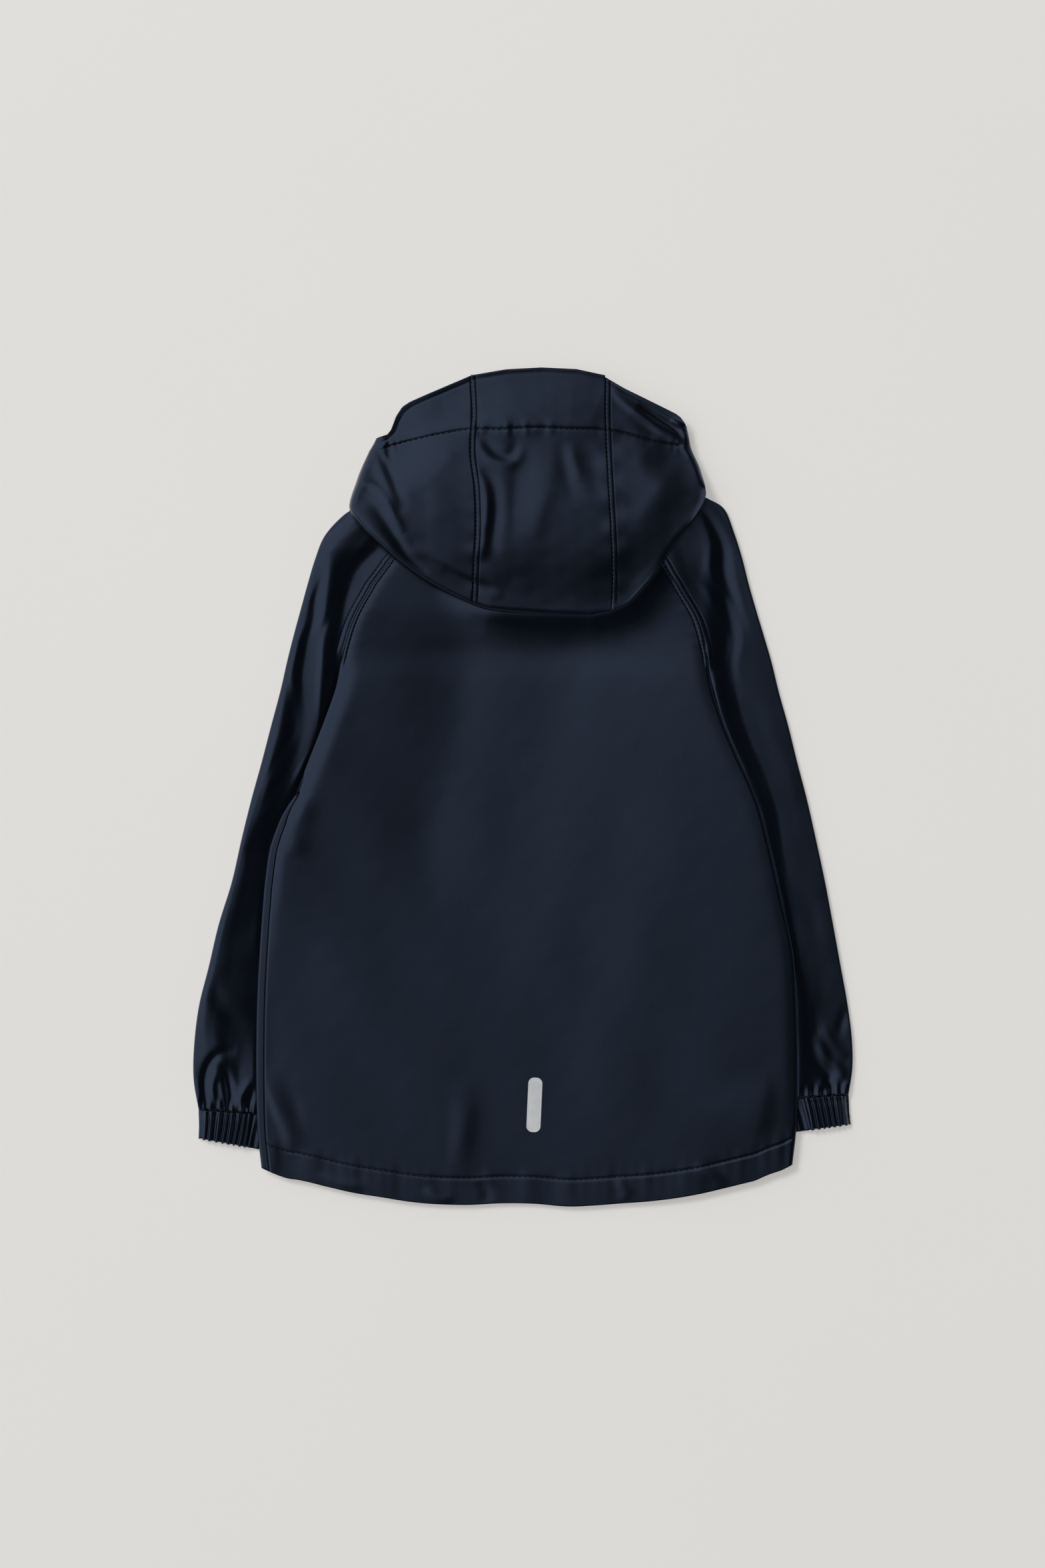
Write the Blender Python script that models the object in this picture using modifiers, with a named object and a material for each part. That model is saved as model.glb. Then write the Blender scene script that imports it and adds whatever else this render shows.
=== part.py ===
"""Kids raincoat laid flat, face down, with its hood up and its sleeves turned down beside the body.

Metres, +Z up. The coat rests on the plane z = 0, its back faces +Z, and its hood points along +Y.
Left and right are the wearer's: the left side lies at -X. The sizes below are in millimetres.
"""

import math
from collections import namedtuple

import bmesh
import bpy
import numpy as np

MM = 0.001

# Cloth and clearances
WALL = 1.2              # cloth of the panels
CUFF_WALL = 1.0         # cloth of the gathered cuffs
HOOD_WALL = 1.3         # cloth of the hood, a little thinner where it bends
SEAM_GAP = 0.3          # between two pieces that are sewn together
HOOD_SEAM_GAP = 0.6     # the same on the hood, where the cloth bends across the seam
SLEEVE_SEAM_GAP = 0.5   # and along the curved raglan seams

# Heights above the surface that the coat lies on
BACK_HEIGHT = 5.3       # outer face of the back panel over the middle of the body
SIDE_LIFT = 4.4         # rise of the front panels over the inner part of a sleeve
SIDE_THICKNESS = 3.6    # front and back panel together along the side seam
OVERLAP_LIFT = 1.1      # rise of the outer front at the closure, over the snap caps
SLEEVE_FLAT = 3.8       # height of a sleeve where it lies under the body
EDGE_RADIUS = 1.8       # half the depth of a folded side edge
SLEEVE_RAMP = 27.0      # width over which the body comes down beside the inner edge of a sleeve
SLEEVE_SQUARENESS = 2.4  # 2 is a round top, more is a flatter one
SLEEVE_SECTIONS = 29

# Body
CENTER_X = 3.0          # centre line of the body
NECK_HALF_WIDTH = 89.5
NECK_Y = 209.0          # both ends of the neck seam
BACK_NECK_DROP = 12.0
FRONT_NECK_Y = 186.0    # lowest point of the front neckline
FRONT_OVERLAP = 15.0    # each front reaches this far past the centre line
UNDERARM_Y = -5.0
FLAP_WIDTH = 6.5        # how far the left front wraps round to the back
SLEEVE_TUCK_TOP = 103.0  # here the sleeve starts to turn under the body
SLEEVE_TUCK_FULL = 84.0

# Hood
HOOD_EDGE_RADIUS = 8.0  # roundness of the hood's folded edge
HOOD_EDGE_DEPTH = 11.0  # depth of the hood just inside its folded edge
HOOD_DEPTH = 23.0       # depth of the hood in the middle
HOOD_CROWN_REACH = 62.0  # distance from the edge at which the full depth is reached
RIM_HEIGHT = 9.0        # height of the free rim above the surface
RIM_REACH = 55.0
HOOD_REST_BACK = 5.7    # under layer of the hood on the back panel
HOOD_REST_SHOULDER = 7.8  # and on the sleeves
NECK_SIDE_ROW = 4.0     # the row of a hood side that meets the end of the neck seam

# Cuffs, reflector and snaps
CUFF_PLEATS = 13
CUFF_PLEAT_HEIGHT = 1.5
CUFF_HIDDEN_PLEAT_HEIGHT = 0.35
CUFF_HEIGHT = 5.2
CUFF_START_GAP = 0.5    # between a cuff and its sleeve
CUFF_ROWS = (0.0, 0.12, 0.4, 0.7, 1.0)
REFLECTOR_SIZE = (11.7, 45.0, 0.8)
REFLECTOR_CENTER = (9.4, -261.5)
REFLECTOR_TILT = -2.5   # degrees
SNAP_RADIUS = 6.0
SNAP_DEPTH = 0.8
SNAP_COUNT = 5
SNAP_TOP_Y = 160.0
SNAP_SPACING = 95.0

# Outline of the body from the neck down to the hem: the raglan seams, then the side seams
BodyRow = namedtuple("BodyRow", "y left right")
BODY = [
    BodyRow(209.0, -86.5, 92.5),
    BodyRow(200.0, -98.5, 103.5),
    BodyRow(187.0, -110.0, 114.5),
    BodyRow(168.0, -124.0, 126.0),
    BodyRow(140.0, -139.2, 142.0),
    BodyRow(114.0, -147.8, 150.0),
    BodyRow(81.0, -155.0, 156.0),
    BodyRow(51.0, -165.6, 165.8),
    BodyRow(25.0, -176.0, 177.0),
    BodyRow(-5.0, -187.8, 190.3),
    BodyRow(-25.0, -199.8, 197.2),
    BodyRow(-50.0, -208.8, 203.6),
    BodyRow(-83.0, -213.4, 211.2),
    BodyRow(-135.0, -217.2, 222.4),
    BodyRow(-176.0, -219.3, 225.4),
    BodyRow(-230.0, -220.0, 226.5),
    BodyRow(-280.0, -219.0, 225.4),
    BodyRow(-312.0, -215.5, 221.8),
]

# Depth of the hem below its two corners, over the width of the body
HEM_CORNER_Y = -312.0
HEM_DROP = [0.0, 9.5, 15.0, 22.0, 28.0, 31.2, 31.5, 31.3, 32.6, 32.2, 29.0, 23.5, 15.5, 7.0, -1.0]

# Sleeves from the shoulder to the wrist: outer fold, inner edge, height of the ridge on top
SleeveRow = namedtuple("SleeveRow", "outer_x outer_y inner_x inner_y ridge")
LEFT_SLEEVE = [
    SleeveRow(-136.0, 225.0, -87.0, 209.0, 4.4),
    SleeveRow(-150.0, 221.0, -93.0, 203.5, 5.0),
    SleeveRow(-163.5, 207.5, -100.5, 197.0, 6.0),
    SleeveRow(-171.2, 189.0, -110.3, 187.0, 7.2),
    SleeveRow(-177.4, 168.5, -124.3, 168.0, 7.8),
    SleeveRow(-183.0, 148.0, -135.0, 149.0, 8.0),
    SleeveRow(-189.0, 126.0, -144.4, 127.0, 8.0),
    SleeveRow(-194.7, 103.4, -150.4, 104.5, 7.8),
    SleeveRow(-200.0, 80.0, -154.7, 84.0, 7.6),
    SleeveRow(-208.0, 50.0, -128.0, 52.0, 7.6),
    SleeveRow(-215.8, 20.0, -124.0, 20.0, 7.6),
    SleeveRow(-223.8, -9.0, -132.0, -10.0, 7.6),
    SleeveRow(-232.0, -42.0, -142.0, -44.0, 7.6),
    SleeveRow(-240.2, -78.0, -153.0, -81.0, 7.8),
    SleeveRow(-251.0, -113.0, -164.0, -117.0, 7.8),
    SleeveRow(-259.0, -147.0, -173.0, -152.0, 7.8),
    SleeveRow(-267.2, -180.0, -181.0, -186.0, 7.6),
    SleeveRow(-271.2, -212.0, -187.0, -218.0, 7.4),
    SleeveRow(-271.7, -240.0, -190.0, -247.0, 6.4),
    SleeveRow(-268.2, -265.4, -190.0, -271.5, 5.2),
]
RIGHT_SLEEVE = [
    SleeveRow(150.5, 235.0, 93.0, 209.0, 4.4),
    SleeveRow(165.0, 228.0, 99.0, 203.5, 5.0),
    SleeveRow(174.5, 209.0, 105.5, 197.0, 6.0),
    SleeveRow(180.8, 189.0, 114.8, 187.0, 7.2),
    SleeveRow(186.0, 168.5, 126.3, 168.0, 7.8),
    SleeveRow(191.8, 148.0, 138.0, 149.0, 8.0),
    SleeveRow(198.4, 126.0, 146.9, 127.0, 8.0),
    SleeveRow(205.0, 103.4, 152.6, 104.5, 7.8),
    SleeveRow(211.2, 78.0, 156.6, 83.0, 7.6),
    SleeveRow(219.0, 50.0, 130.0, 52.0, 7.6),
    SleeveRow(226.4, 20.0, 126.0, 20.0, 7.6),
    SleeveRow(234.0, -9.0, 136.0, -10.0, 7.6),
    SleeveRow(241.5, -42.0, 146.0, -42.0, 7.6),
    SleeveRow(249.0, -77.0, 157.0, -77.0, 7.8),
    SleeveRow(255.6, -112.0, 168.0, -112.0, 7.8),
    SleeveRow(261.8, -146.0, 177.0, -147.0, 7.8),
    SleeveRow(267.4, -177.0, 184.0, -179.0, 7.6),
    SleeveRow(271.2, -206.0, 189.0, -209.0, 7.4),
    SleeveRow(271.7, -231.0, 192.0, -235.0, 6.4),
    SleeveRow(269.0, -253.4, 193.0, -258.0, 5.2),
]
SLEEVE_OPEN_ROWS = 7    # rows of the table down to which the sleeve is open along the raglan seams

# Free edge of each cuff: outer corner and inner corner
CuffEdge = namedtuple("CuffEdge", "outer_x outer_y inner_x inner_y")
LEFT_CUFF = CuffEdge(-267.4, -289.4, -189.0, -303.5)
RIGHT_CUFF = CuffEdge(269.6, -277.8, 193.0, -288.5)

# Sides of the hood from the rim back to the fold of the bag. A row runs from the seam on the middle
# panel out to the folded edge and back beneath to the chin, the neck seam or the seam underneath.
HoodRow = namedtuple("HoodRow", "seam_y edge_x edge_y under_x under_y bulge")
LEFT_HOOD = [
    HoodRow(339.0, -121.0, 287.0, -2.0, 187.4, 13.0),
    HoodRow(322.0, -123.0, 283.0, -24.0, 189.2, 9.0),
    HoodRow(304.0, -125.3, 279.0, -46.0, 194.0, 5.0),
    HoodRow(285.0, -127.5, 275.0, -64.0, 200.3, 2.0),
    HoodRow(262.0, -136.5, 254.0, -90.0, 216.5, 0.0),
    HoodRow(241.0, -142.4, 228.5, -89.0, 210.5, 0.0),
    HoodRow(225.0, -131.5, 211.5, -68.0, 204.0, 0.0),
    HoodRow(209.0, -121.0, 200.8, -41.0, 199.0, 0.0),
    HoodRow(194.0, -107.0, 188.3, -41.0, 189.0, 0.0),
    HoodRow(180.5, -89.0, 174.8, -41.0, 179.0, 0.0),
    HoodRow(168.5, -67.0, 161.8, -41.0, 168.0, 0.0),
    HoodRow(158.5, -41.0, 149.5, -41.0, 158.5, 0.0),
]
RIGHT_HOOD = [
    HoodRow(338.0, 134.8, 296.0, 8.0, 187.4, 4.5),
    HoodRow(321.0, 136.0, 291.0, 30.0, 189.2, 3.0),
    HoodRow(303.0, 137.2, 285.0, 52.0, 194.0, 1.5),
    HoodRow(284.0, 138.8, 278.0, 70.0, 200.3, 0.5),
    HoodRow(262.0, 146.5, 260.0, 96.0, 216.5, 0.0),
    HoodRow(241.0, 149.8, 240.0, 95.0, 210.8, 0.0),
    HoodRow(225.0, 142.0, 224.0, 77.0, 203.0, 0.0),
    HoodRow(209.0, 131.0, 209.5, 71.0, 199.0, 0.0),
    HoodRow(194.5, 120.5, 195.0, 71.0, 189.5, 0.0),
    HoodRow(181.5, 109.5, 179.0, 71.0, 180.0, 0.0),
    HoodRow(170.0, 98.0, 165.0, 71.0, 170.5, 0.0),
    HoodRow(161.0, 86.0, 152.5, 71.0, 161.0, 0.0),
    HoodRow(154.0, 71.0, 145.0, 71.0, 154.0, 0.0),
]
HOOD_LEFT_SEAM_X = -41.0
HOOD_RIGHT_SEAM_X = 71.0
BagPoint = namedtuple("BagPoint", "x y")
HOOD_BAG = [
    BagPoint(-28.0, 145.4),
    BagPoint(-8.0, 143.6),
    BagPoint(14.0, 142.6),
    BagPoint(36.0, 142.0),
    BagPoint(56.0, 142.0),
]
RimPoint = namedtuple("RimPoint", "x y")
HOOD_RIM = [
    RimPoint(-41.0, 339.0),
    RimPoint(-14.0, 343.6),
    RimPoint(15.0, 345.2),
    RimPoint(44.0, 343.8),
    RimPoint(71.0, 338.0),
]
HOOD_NECK_Y = 199.0

# Largest folds pressed into the top of the hood: a line, its half width and its height
Fold = namedtuple("Fold", "x0 y0 x1 y1 width height")
HOOD_FOLDS = [
    Fold(-123.0, 276.0, -98.0, 222.0, 9.0, 3.0),
    Fold(-112.0, 284.0, -84.0, 236.0, 8.0, -2.6),
    Fold(-136.0, 250.0, -104.0, 206.0, 9.0, -2.4),
    Fold(-78.0, 250.0, -62.0, 196.0, 12.0, 2.2),
    Fold(-60.0, 186.0, -20.0, 167.0, 9.0, 3.2),
    Fold(-58.0, 176.0, -24.0, 158.0, 8.0, -2.8),
    Fold(-28.0, 268.0, 0.0, 264.0, 8.0, -3.4),
    Fold(-30.0, 246.0, -20.0, 206.0, 9.0, 2.4),
    Fold(4.0, 262.0, -8.0, 210.0, 9.0, -2.6),
    Fold(22.0, 272.0, 14.0, 216.0, 9.0, 2.2),
    Fold(46.0, 268.0, 52.0, 232.0, 9.0, 2.0),
    Fold(92.0, 322.0, 130.0, 286.0, 10.0, 2.6),
    Fold(96.0, 298.0, 132.0, 272.0, 8.0, -2.8),
]


def smooth_step(value):
    """Ease from 0 to 1 while value runs from 0 to 1."""
    value = min(max(value, 0.0), 1.0)
    return value * value * (3.0 - 2.0 * value)


def smooth_value(values, position):
    """Value at a fractional index of a smooth curve through evenly numbered values."""
    last = len(values) - 1
    position = min(max(position, 0.0), float(last))
    start = min(int(position), last - 1)
    part = position - start
    here, after = values[start], values[start + 1]
    before = values[start - 1] if start > 0 else 2 * here - after
    beyond = values[start + 2] if start + 2 <= last else 2 * after - here
    linear = (after - before) * part
    square = (2 * before - 5 * here + 4 * after - beyond) * part ** 2
    cube = (3 * here - before - 3 * after + beyond) * part ** 3
    return 0.5 * (2 * here + linear + square + cube)


def smooth_row(rows, position):
    """A row of a table, worked out between its rows at a fractional index."""
    return type(rows[0])(*(smooth_value(list(values), position) for values in zip(*rows)))


def grid_object(name, section_rows, wall, material, collection, even=True):
    """Wall of cloth over a grid of points (millimetres), whose outer face is on the grid.

    Every row has the same number of points. Where the first and last points of neighbouring rows
    are the same, the grid closes to a tube. The wall is evenly thick at bends unless even is off.
    """
    rows = len(section_rows)
    columns = len(section_rows[0])
    mesh_data = bmesh.new()
    bmesh.ops.create_grid(mesh_data, x_segments=columns - 1, y_segments=rows - 1, size=0.5)
    for vertex in mesh_data.verts:
        column = round((vertex.co.x + 0.5) * (columns - 1))
        row = round((vertex.co.y + 0.5) * (rows - 1))
        vertex.co = [value * MM for value in section_rows[row][column]]
    bmesh.ops.remove_doubles(mesh_data, verts=mesh_data.verts[:], dist=0.02 * MM)
    mesh = bpy.data.meshes.new(name)
    mesh_data.to_mesh(mesh)
    mesh_data.free()
    mesh.shade_smooth()
    cloth = bpy.data.objects.new(name, mesh)
    collection.objects.link(cloth)
    mesh.materials.append(material)
    solidify = cloth.modifiers.new("Wall", "SOLIDIFY")
    solidify.thickness = wall * MM
    solidify.offset = -1.0
    solidify.use_even_offset = even
    return cloth


# Body


def body_position(y):
    """Fractional row of the body table at a height y."""
    heights = [-row.y for row in BODY]
    return float(np.interp(-y, heights, range(len(BODY))))


def body_edges(y):
    """Left and right edge of the body at y."""
    row = smooth_row(BODY, body_position(y))
    return row.left, row.right


def sleeve_inner_x(rows, y):
    """Inner edge of a sleeve at y."""
    heights = [-row.inner_y for row in rows]
    return smooth_value([row.inner_x for row in rows], float(np.interp(-y, heights, range(len(rows)))))


def tuck_share(y):
    """0 where the sleeve lies beside the body, 1 where it lies under it."""
    return smooth_step((SLEEVE_TUCK_TOP + 3.0 - y) / (SLEEVE_TUCK_TOP - SLEEVE_TUCK_FULL))


def lift_edge(side, y):
    """Distance from the middle of the coat to the inner edge of the sleeve beneath the body."""
    rows = LEFT_SLEEVE if side < 0 else RIGHT_SLEEVE
    edge = body_edges(y)[0 if side < 0 else 1]
    return min(abs(sleeve_inner_x(rows, min(y, SLEEVE_TUCK_FULL))), abs(edge) - 10.0)


def side_lift(x, y):
    """Rise of the front panels where they lie on a sleeve."""
    inner = lift_edge(-1 if x < CENTER_X else 1, y)
    across = smooth_step((abs(x) - inner + SLEEVE_RAMP) / (SLEEVE_RAMP - 2.0))
    return SIDE_LIFT * across * tuck_share(y)


def side_columns(side, y, edge):
    """Places across the side of a body panel, from its edge to the end of the rise."""
    inner = side * lift_edge(side, y)
    steps = [0.0, 0.25, 0.5, 0.75, 1.0]
    second = edge - side * 3.5
    return [edge, second, 0.5 * (second + inner)] + [inner - side * SLEEVE_RAMP * step for step in steps]


def back_height(x, y):
    """Outer face of the back panel."""
    lift = side_lift(x, y) / SIDE_LIFT
    return BACK_HEIGHT + (SIDE_LIFT + SIDE_THICKNESS - BACK_HEIGHT) * lift


def hem_y(side, y):
    """Height y of a body row at side 0 (left) to 1 (right), with the curve of the hem worked in."""
    share = smooth_step((y + 120.0) / (HEM_CORNER_Y + 120.0))
    return y - share * smooth_value(HEM_DROP, side * (len(HEM_DROP) - 1))


def neck_y(x, y, low):
    """Lower the top rows of a panel to its curved neckline."""
    share = smooth_step((y - 120.0) / (NECK_Y - 120.0))
    across = min(abs(x - CENTER_X) / NECK_HALF_WIDTH, 1.0)
    return y - share * (NECK_Y - low) * (1.0 - across ** 2.2)


def body_rows():
    """Heights of the rows of the body panels, closer where the outline turns."""
    above = list(np.linspace(NECK_Y, SLEEVE_TUCK_TOP, 7))
    turn = list(np.linspace(SLEEVE_TUCK_TOP, SLEEVE_TUCK_FULL, 3))[1:]
    armhole = list(np.linspace(SLEEVE_TUCK_FULL, UNDERARM_Y + FLAP_WIDTH, 6))[1:]
    below = list(np.linspace(UNDERARM_Y - FLAP_WIDTH, HEM_CORNER_Y, 12))
    return above + turn + armhole + [UNDERARM_Y] + below


def flap_share(y):
    """1 where the left front wraps round to the back, 0 above the underarm."""
    return smooth_step((UNDERARM_Y + FLAP_WIDTH - y) / (2.0 * FLAP_WIDTH))


def flap_width(y):
    """How far the left front reaches onto the back, growing below the underarm."""
    return FLAP_WIDTH * (0.5 + 0.5 * smooth_step((UNDERARM_Y - FLAP_WIDTH - y) / 22.0))


def flap_room(y):
    """How far the back panel's left edge is drawn in to leave room for that wrap."""
    start = 2.0 * smooth_step((UNDERARM_Y + 3.0 * FLAP_WIDTH - y) / (2.0 * FLAP_WIDTH))
    gap = SEAM_GAP * (5.0 - 3.0 * smooth_step((UNDERARM_Y - FLAP_WIDTH - y) / 22.0))
    return max(min(1.6 * flap_share(y), 1.0) * (flap_width(y) + gap), start)


def make_back(material, collection):
    """Back panel, with its left edge drawn in where the front wraps round it."""
    sections = []
    for y in body_rows():
        left, right = body_edges(y)
        left_side = side_columns(-1, y, left + flap_room(y))
        right_side = side_columns(1, y, right)[::-1]
        middle = list(np.linspace(left_side[-1], right_side[0], 8))[1:-1]
        section = []
        for x in left_side + middle + right_side:
            row_y = neck_y(x, hem_y((x - left) / (right - left), y), NECK_Y - BACK_NECK_DROP)
            section.append((x, row_y, back_height(x, y)))
        sections.append(section)
    sections.reverse()
    return grid_object("back_panel", sections, WALL, material, collection)


def front_height(x, y, closure_lift, reach):
    """Underside of a front panel: flat, but raised over the sleeve and at the closure."""
    closure = smooth_step((reach - abs(x - CENTER_X)) / 25.0)
    return side_lift(x, y) + closure_lift * closure


def mixed(first, second, share):
    """Point on the way from one point to another."""
    return tuple(a + (b - a) * share for a, b in zip(first, second))


def make_front_left(material, collection):
    """Left front, whose side edge wraps round the body onto its back below the underarm."""
    sections = []
    inner_edge = CENTER_X + FRONT_OVERLAP
    reach = 45.0
    for y in body_rows():
        left, right = body_edges(y)
        top = back_height(left, y)
        low = front_height(left, y, OVERLAP_LIFT, reach)
        flat = [(0.0, 0.0), (1.2, 0.0), (2.4, 0.0), (5.0, 0.0)]
        turned_up = [(1.2, 1.6), (1.8, 0.8), (2.7, 0.22), (4.0, 0.0)]
        wrapped = [
            (flap_width(y), top - low),
            (EDGE_RADIUS, top - low),
            (0.0, 0.5 * (top - low)),
            (EDGE_RADIUS, 0.0),
        ]
        section = []
        for place in range(4):
            point = mixed(flat[place], turned_up[place], tuck_share(y))
            point = mixed(point, wrapped[place], flap_share(y))
            section.append((left + point[0], low + point[1]))
        places = side_columns(-1, y, left + EDGE_RADIUS)[2:]
        places += list(np.linspace(places[-1], CENTER_X - reach, 3))[1:]
        places += [CENTER_X - reach + 9.0, CENTER_X - reach + 17.0, CENTER_X - 20.0, inner_edge]
        section += [(x, front_height(x, y, OVERLAP_LIFT, reach)) for x in places]
        points = []
        for x, z in section:
            row_y = neck_y(x, hem_y((x - left) / (right - left), y), FRONT_NECK_Y)
            points.append((x, row_y, z))
        sections.append(points)
    return grid_object("front_left", sections, WALL, material, collection, even=False)


def make_front_right(material, collection):
    """Right front, which lies on the left one at the centre line."""
    sections = []
    inner_edge = CENTER_X - FRONT_OVERLAP
    reach = 46.0
    lift = OVERLAP_LIFT + WALL + SEAM_GAP
    for y in body_rows():
        left, right = body_edges(y)
        places = side_columns(1, y, right - 0.5 * EDGE_RADIUS)
        places += list(np.linspace(places[-1], CENTER_X + reach, 3))[1:]
        places += [CENTER_X + reach - 9.0, CENTER_X + reach - 17.0, CENTER_X + 20.5, inner_edge]
        section = []
        for x in places:
            row_y = neck_y(x, hem_y((x - left) / (right - left), y), FRONT_NECK_Y)
            section.append((x, row_y, front_height(x, y, lift, reach)))
        sections.append(section)
    sections.reverse()
    return grid_object("front_right", sections, WALL, material, collection)


# Sleeves and cuffs


def sleeve_top(share, shown_from):
    """Rise of a sleeve's top layer, 0 to 1, at a share of the way from its inner to its outer edge."""
    if share <= shown_from:
        return 0.0
    shown = (share - shown_from) / (1.0 - shown_from)
    return (1.0 - abs(2.0 * shown - 1.0) ** SLEEVE_SQUARENESS) ** 0.7


def sleeve_outline(row, width, hidden, is_open):
    """Shares across a sleeve and heights, from its inner edge over the top and back beneath."""
    tip = EDGE_RADIUS / width
    under_body = smooth_step((SLEEVE_TUCK_TOP + 1.0 - row.inner_y) / (SLEEVE_TUCK_TOP - SLEEVE_TUCK_FULL))
    seam_height = min(BACK_HEIGHT + (SLEEVE_FLAT - BACK_HEIGHT) * under_body, row.ridge)
    if is_open:
        shown_from = 0.0
        start = []
        top_shares = [0.0, 0.05, 0.14, 0.25, 0.37, 0.5, 0.62, 0.74, 0.85, 0.93]
        end = [(0.12, 0.0), (0.0, 0.0)]
    else:
        shown_from = min(max((hidden + 1.0) / width, 2.6 * tip), 0.7)
        shown = 1.0 - shown_from
        start = [(0.0, 0.5 * seam_height)]
        top_shares = [tip, 0.5 * (tip + shown_from)]
        top_shares += [shown_from + shown * part for part in (0.0, 0.12, 0.27, 0.43, 0.6, 0.77, 0.91)]
        end = [(tip, 0.0), (0.0, 0.5 * seam_height)]
    rises = [sleeve_top(share, shown_from) for share in top_shares]
    top = [(share, seam_height + (row.ridge - seam_height) * rise) for share, rise in zip(top_shares, rises)]
    fold_height = min(3.2, 0.6 * row.ridge)
    fold = [(1.0 - 0.8 / width, fold_height + 1.1), (1.0, 0.5 * fold_height + 0.4), (1.0 - 2.0 / width, 0.0)]
    beneath = [(0.8, 0.0), (0.55, 0.0), (0.3, 0.0)]
    return start + top + fold + beneath + end


def sleeve_sections(rows, side):
    """Sections of a sleeve from the shoulder to the wrist."""
    sections = []
    for number in range(SLEEVE_SECTIONS):
        position = number / (SLEEVE_SECTIONS - 1) * (len(rows) - 1)
        row = smooth_row(rows, position)
        body_edge = body_edges(row.inner_y)[0 if side < 0 else 1]
        if position <= SLEEVE_OPEN_ROWS + 1e-6:
            row = row._replace(inner_x=body_edge + side * SLEEVE_SEAM_GAP)
        width = abs(row.outer_x - row.inner_x)
        hidden = max(abs(body_edge) - abs(row.inner_x), 0.0)
        points = []
        for share, z in sleeve_outline(row, width, hidden, position < SLEEVE_OPEN_ROWS - 1e-6):
            x = row.inner_x + (row.outer_x - row.inner_x) * share
            y = row.inner_y + (row.outer_y - row.inner_y) * share
            points.append((x, y, z))
        sections.append(points)
    return sections


def make_sleeve(name, rows, side, material, collection):
    """Raglan sleeve: open along the raglan seams, and a tube from the underarm down."""
    sections = sleeve_sections(rows, side)
    if side > 0:
        sections.reverse()
    return grid_object(name, sections, WALL, material, collection)


def make_cuff(name, rows, edge, side, material, collection):
    """Gathered sleeve end: a flat ring whose upper layer stands in pleats."""
    wrist = rows[-1]
    steps = CUFF_PLEATS * 4
    sections = []
    for row_share in CUFF_ROWS:
        inner = mixed((wrist.inner_x, wrist.inner_y - CUFF_START_GAP), (edge.inner_x, edge.inner_y), row_share)
        outer = mixed((wrist.outer_x, wrist.outer_y - CUFF_START_GAP), (edge.outer_x, edge.outer_y), row_share)
        body_edge = body_edges(inner[1])[0 if side < 0 else 1]
        width = abs(outer[0] - inner[0])
        hidden = (abs(body_edge) - abs(inner[0])) / width
        outline = [(0.0, 0.5 * SLEEVE_FLAT)]
        for step in range(1, steps):
            share = step / steps
            shown = smooth_step((share - hidden - 0.03) / 0.12)
            base = SLEEVE_FLAT - CUFF_HIDDEN_PLEAT_HEIGHT - 0.1
            base += (CUFF_HEIGHT - base) * shown * (1.0 - (2.0 * share - 1.0) ** 6 * 0.4)
            height = CUFF_HIDDEN_PLEAT_HEIGHT + (CUFF_PLEAT_HEIGHT - CUFF_HIDDEN_PLEAT_HEIGHT) * shown
            height *= 0.25 + 0.75 * smooth_step(row_share * 1.6)
            outline.append((share, base + height * math.sin(math.tau * CUFF_PLEATS * share)))
        outline.append((1.0, 0.5 * SLEEVE_FLAT))
        outline.append((1.0 - 2.0 / width, 0.0))
        for share in (0.75, 0.5, 0.25):
            outline.append((share, 0.0))
        outline.append((2.0 / width, 0.0))
        outline.append((0.0, 0.5 * SLEEVE_FLAT))
        sections.append([mixed(inner, outer, share) + (z,) for share, z in outline])
    if side > 0:
        sections.reverse()
    return grid_object(name, sections, CUFF_WALL, material, collection)


# Hood


def hood_fold_line():
    """Folded edge of the hood from the left end of the rim round the bag to the right end."""
    points = []
    per_row = 4
    for rows in (LEFT_HOOD, RIGHT_HOOD):
        steps = (len(rows) - 1) * per_row
        side = [smooth_row(rows, step / per_row) for step in range(steps + 1)]
        line = [(row.edge_x, row.edge_y) for row in side]
        if rows is LEFT_HOOD:
            points += line + [(point.x, point.y) for point in HOOD_BAG]
        else:
            points += line[::-1]
    return np.array(points)


FOLD_LINE = hood_fold_line()


def distance_to_line(x, y, line):
    """Shortest distance from a point to a line of straight pieces."""
    start, end = line[:-1], line[1:]
    run = end - start
    offset = np.array([x, y]) - start
    share = np.clip((offset * run).sum(axis=1) / (run * run).sum(axis=1), 0.0, 1.0)
    gap = offset - run * share[:, None]
    return float(np.sqrt((gap * gap).sum(axis=1)).min())


def hood_rim_y(x):
    """Free rim of the middle panel."""
    return float(np.interp(x, [point.x for point in HOOD_RIM], [point.y for point in HOOD_RIM]))


RIM_LINE = np.array(
    [(LEFT_HOOD[0].edge_x, LEFT_HOOD[0].edge_y)]
    + [(point.x, point.y) for point in HOOD_RIM]
    + [(RIGHT_HOOD[0].edge_x, RIGHT_HOOD[0].edge_y)]
)


def fold_height(x, y, folds):
    """Sum of the soft ridges and troughs at a point."""
    total = 0.0
    for fold in folds:
        line = np.array([(fold.x0, fold.y0), (fold.x1, fold.y1)])
        gap = distance_to_line(x, y, line)
        total += fold.height * math.exp(-((gap / fold.width) ** 2))
    return total


def hood_rest(x, on_back):
    """Height of the hood's under layer, on the back panel and the sleeves or on the floor."""
    shoulder = smooth_step((abs(x - CENTER_X) - 82.0) / 30.0)
    return on_back * (HOOD_REST_BACK + (HOOD_REST_SHOULDER - HOOD_REST_BACK) * shoulder)


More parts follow.
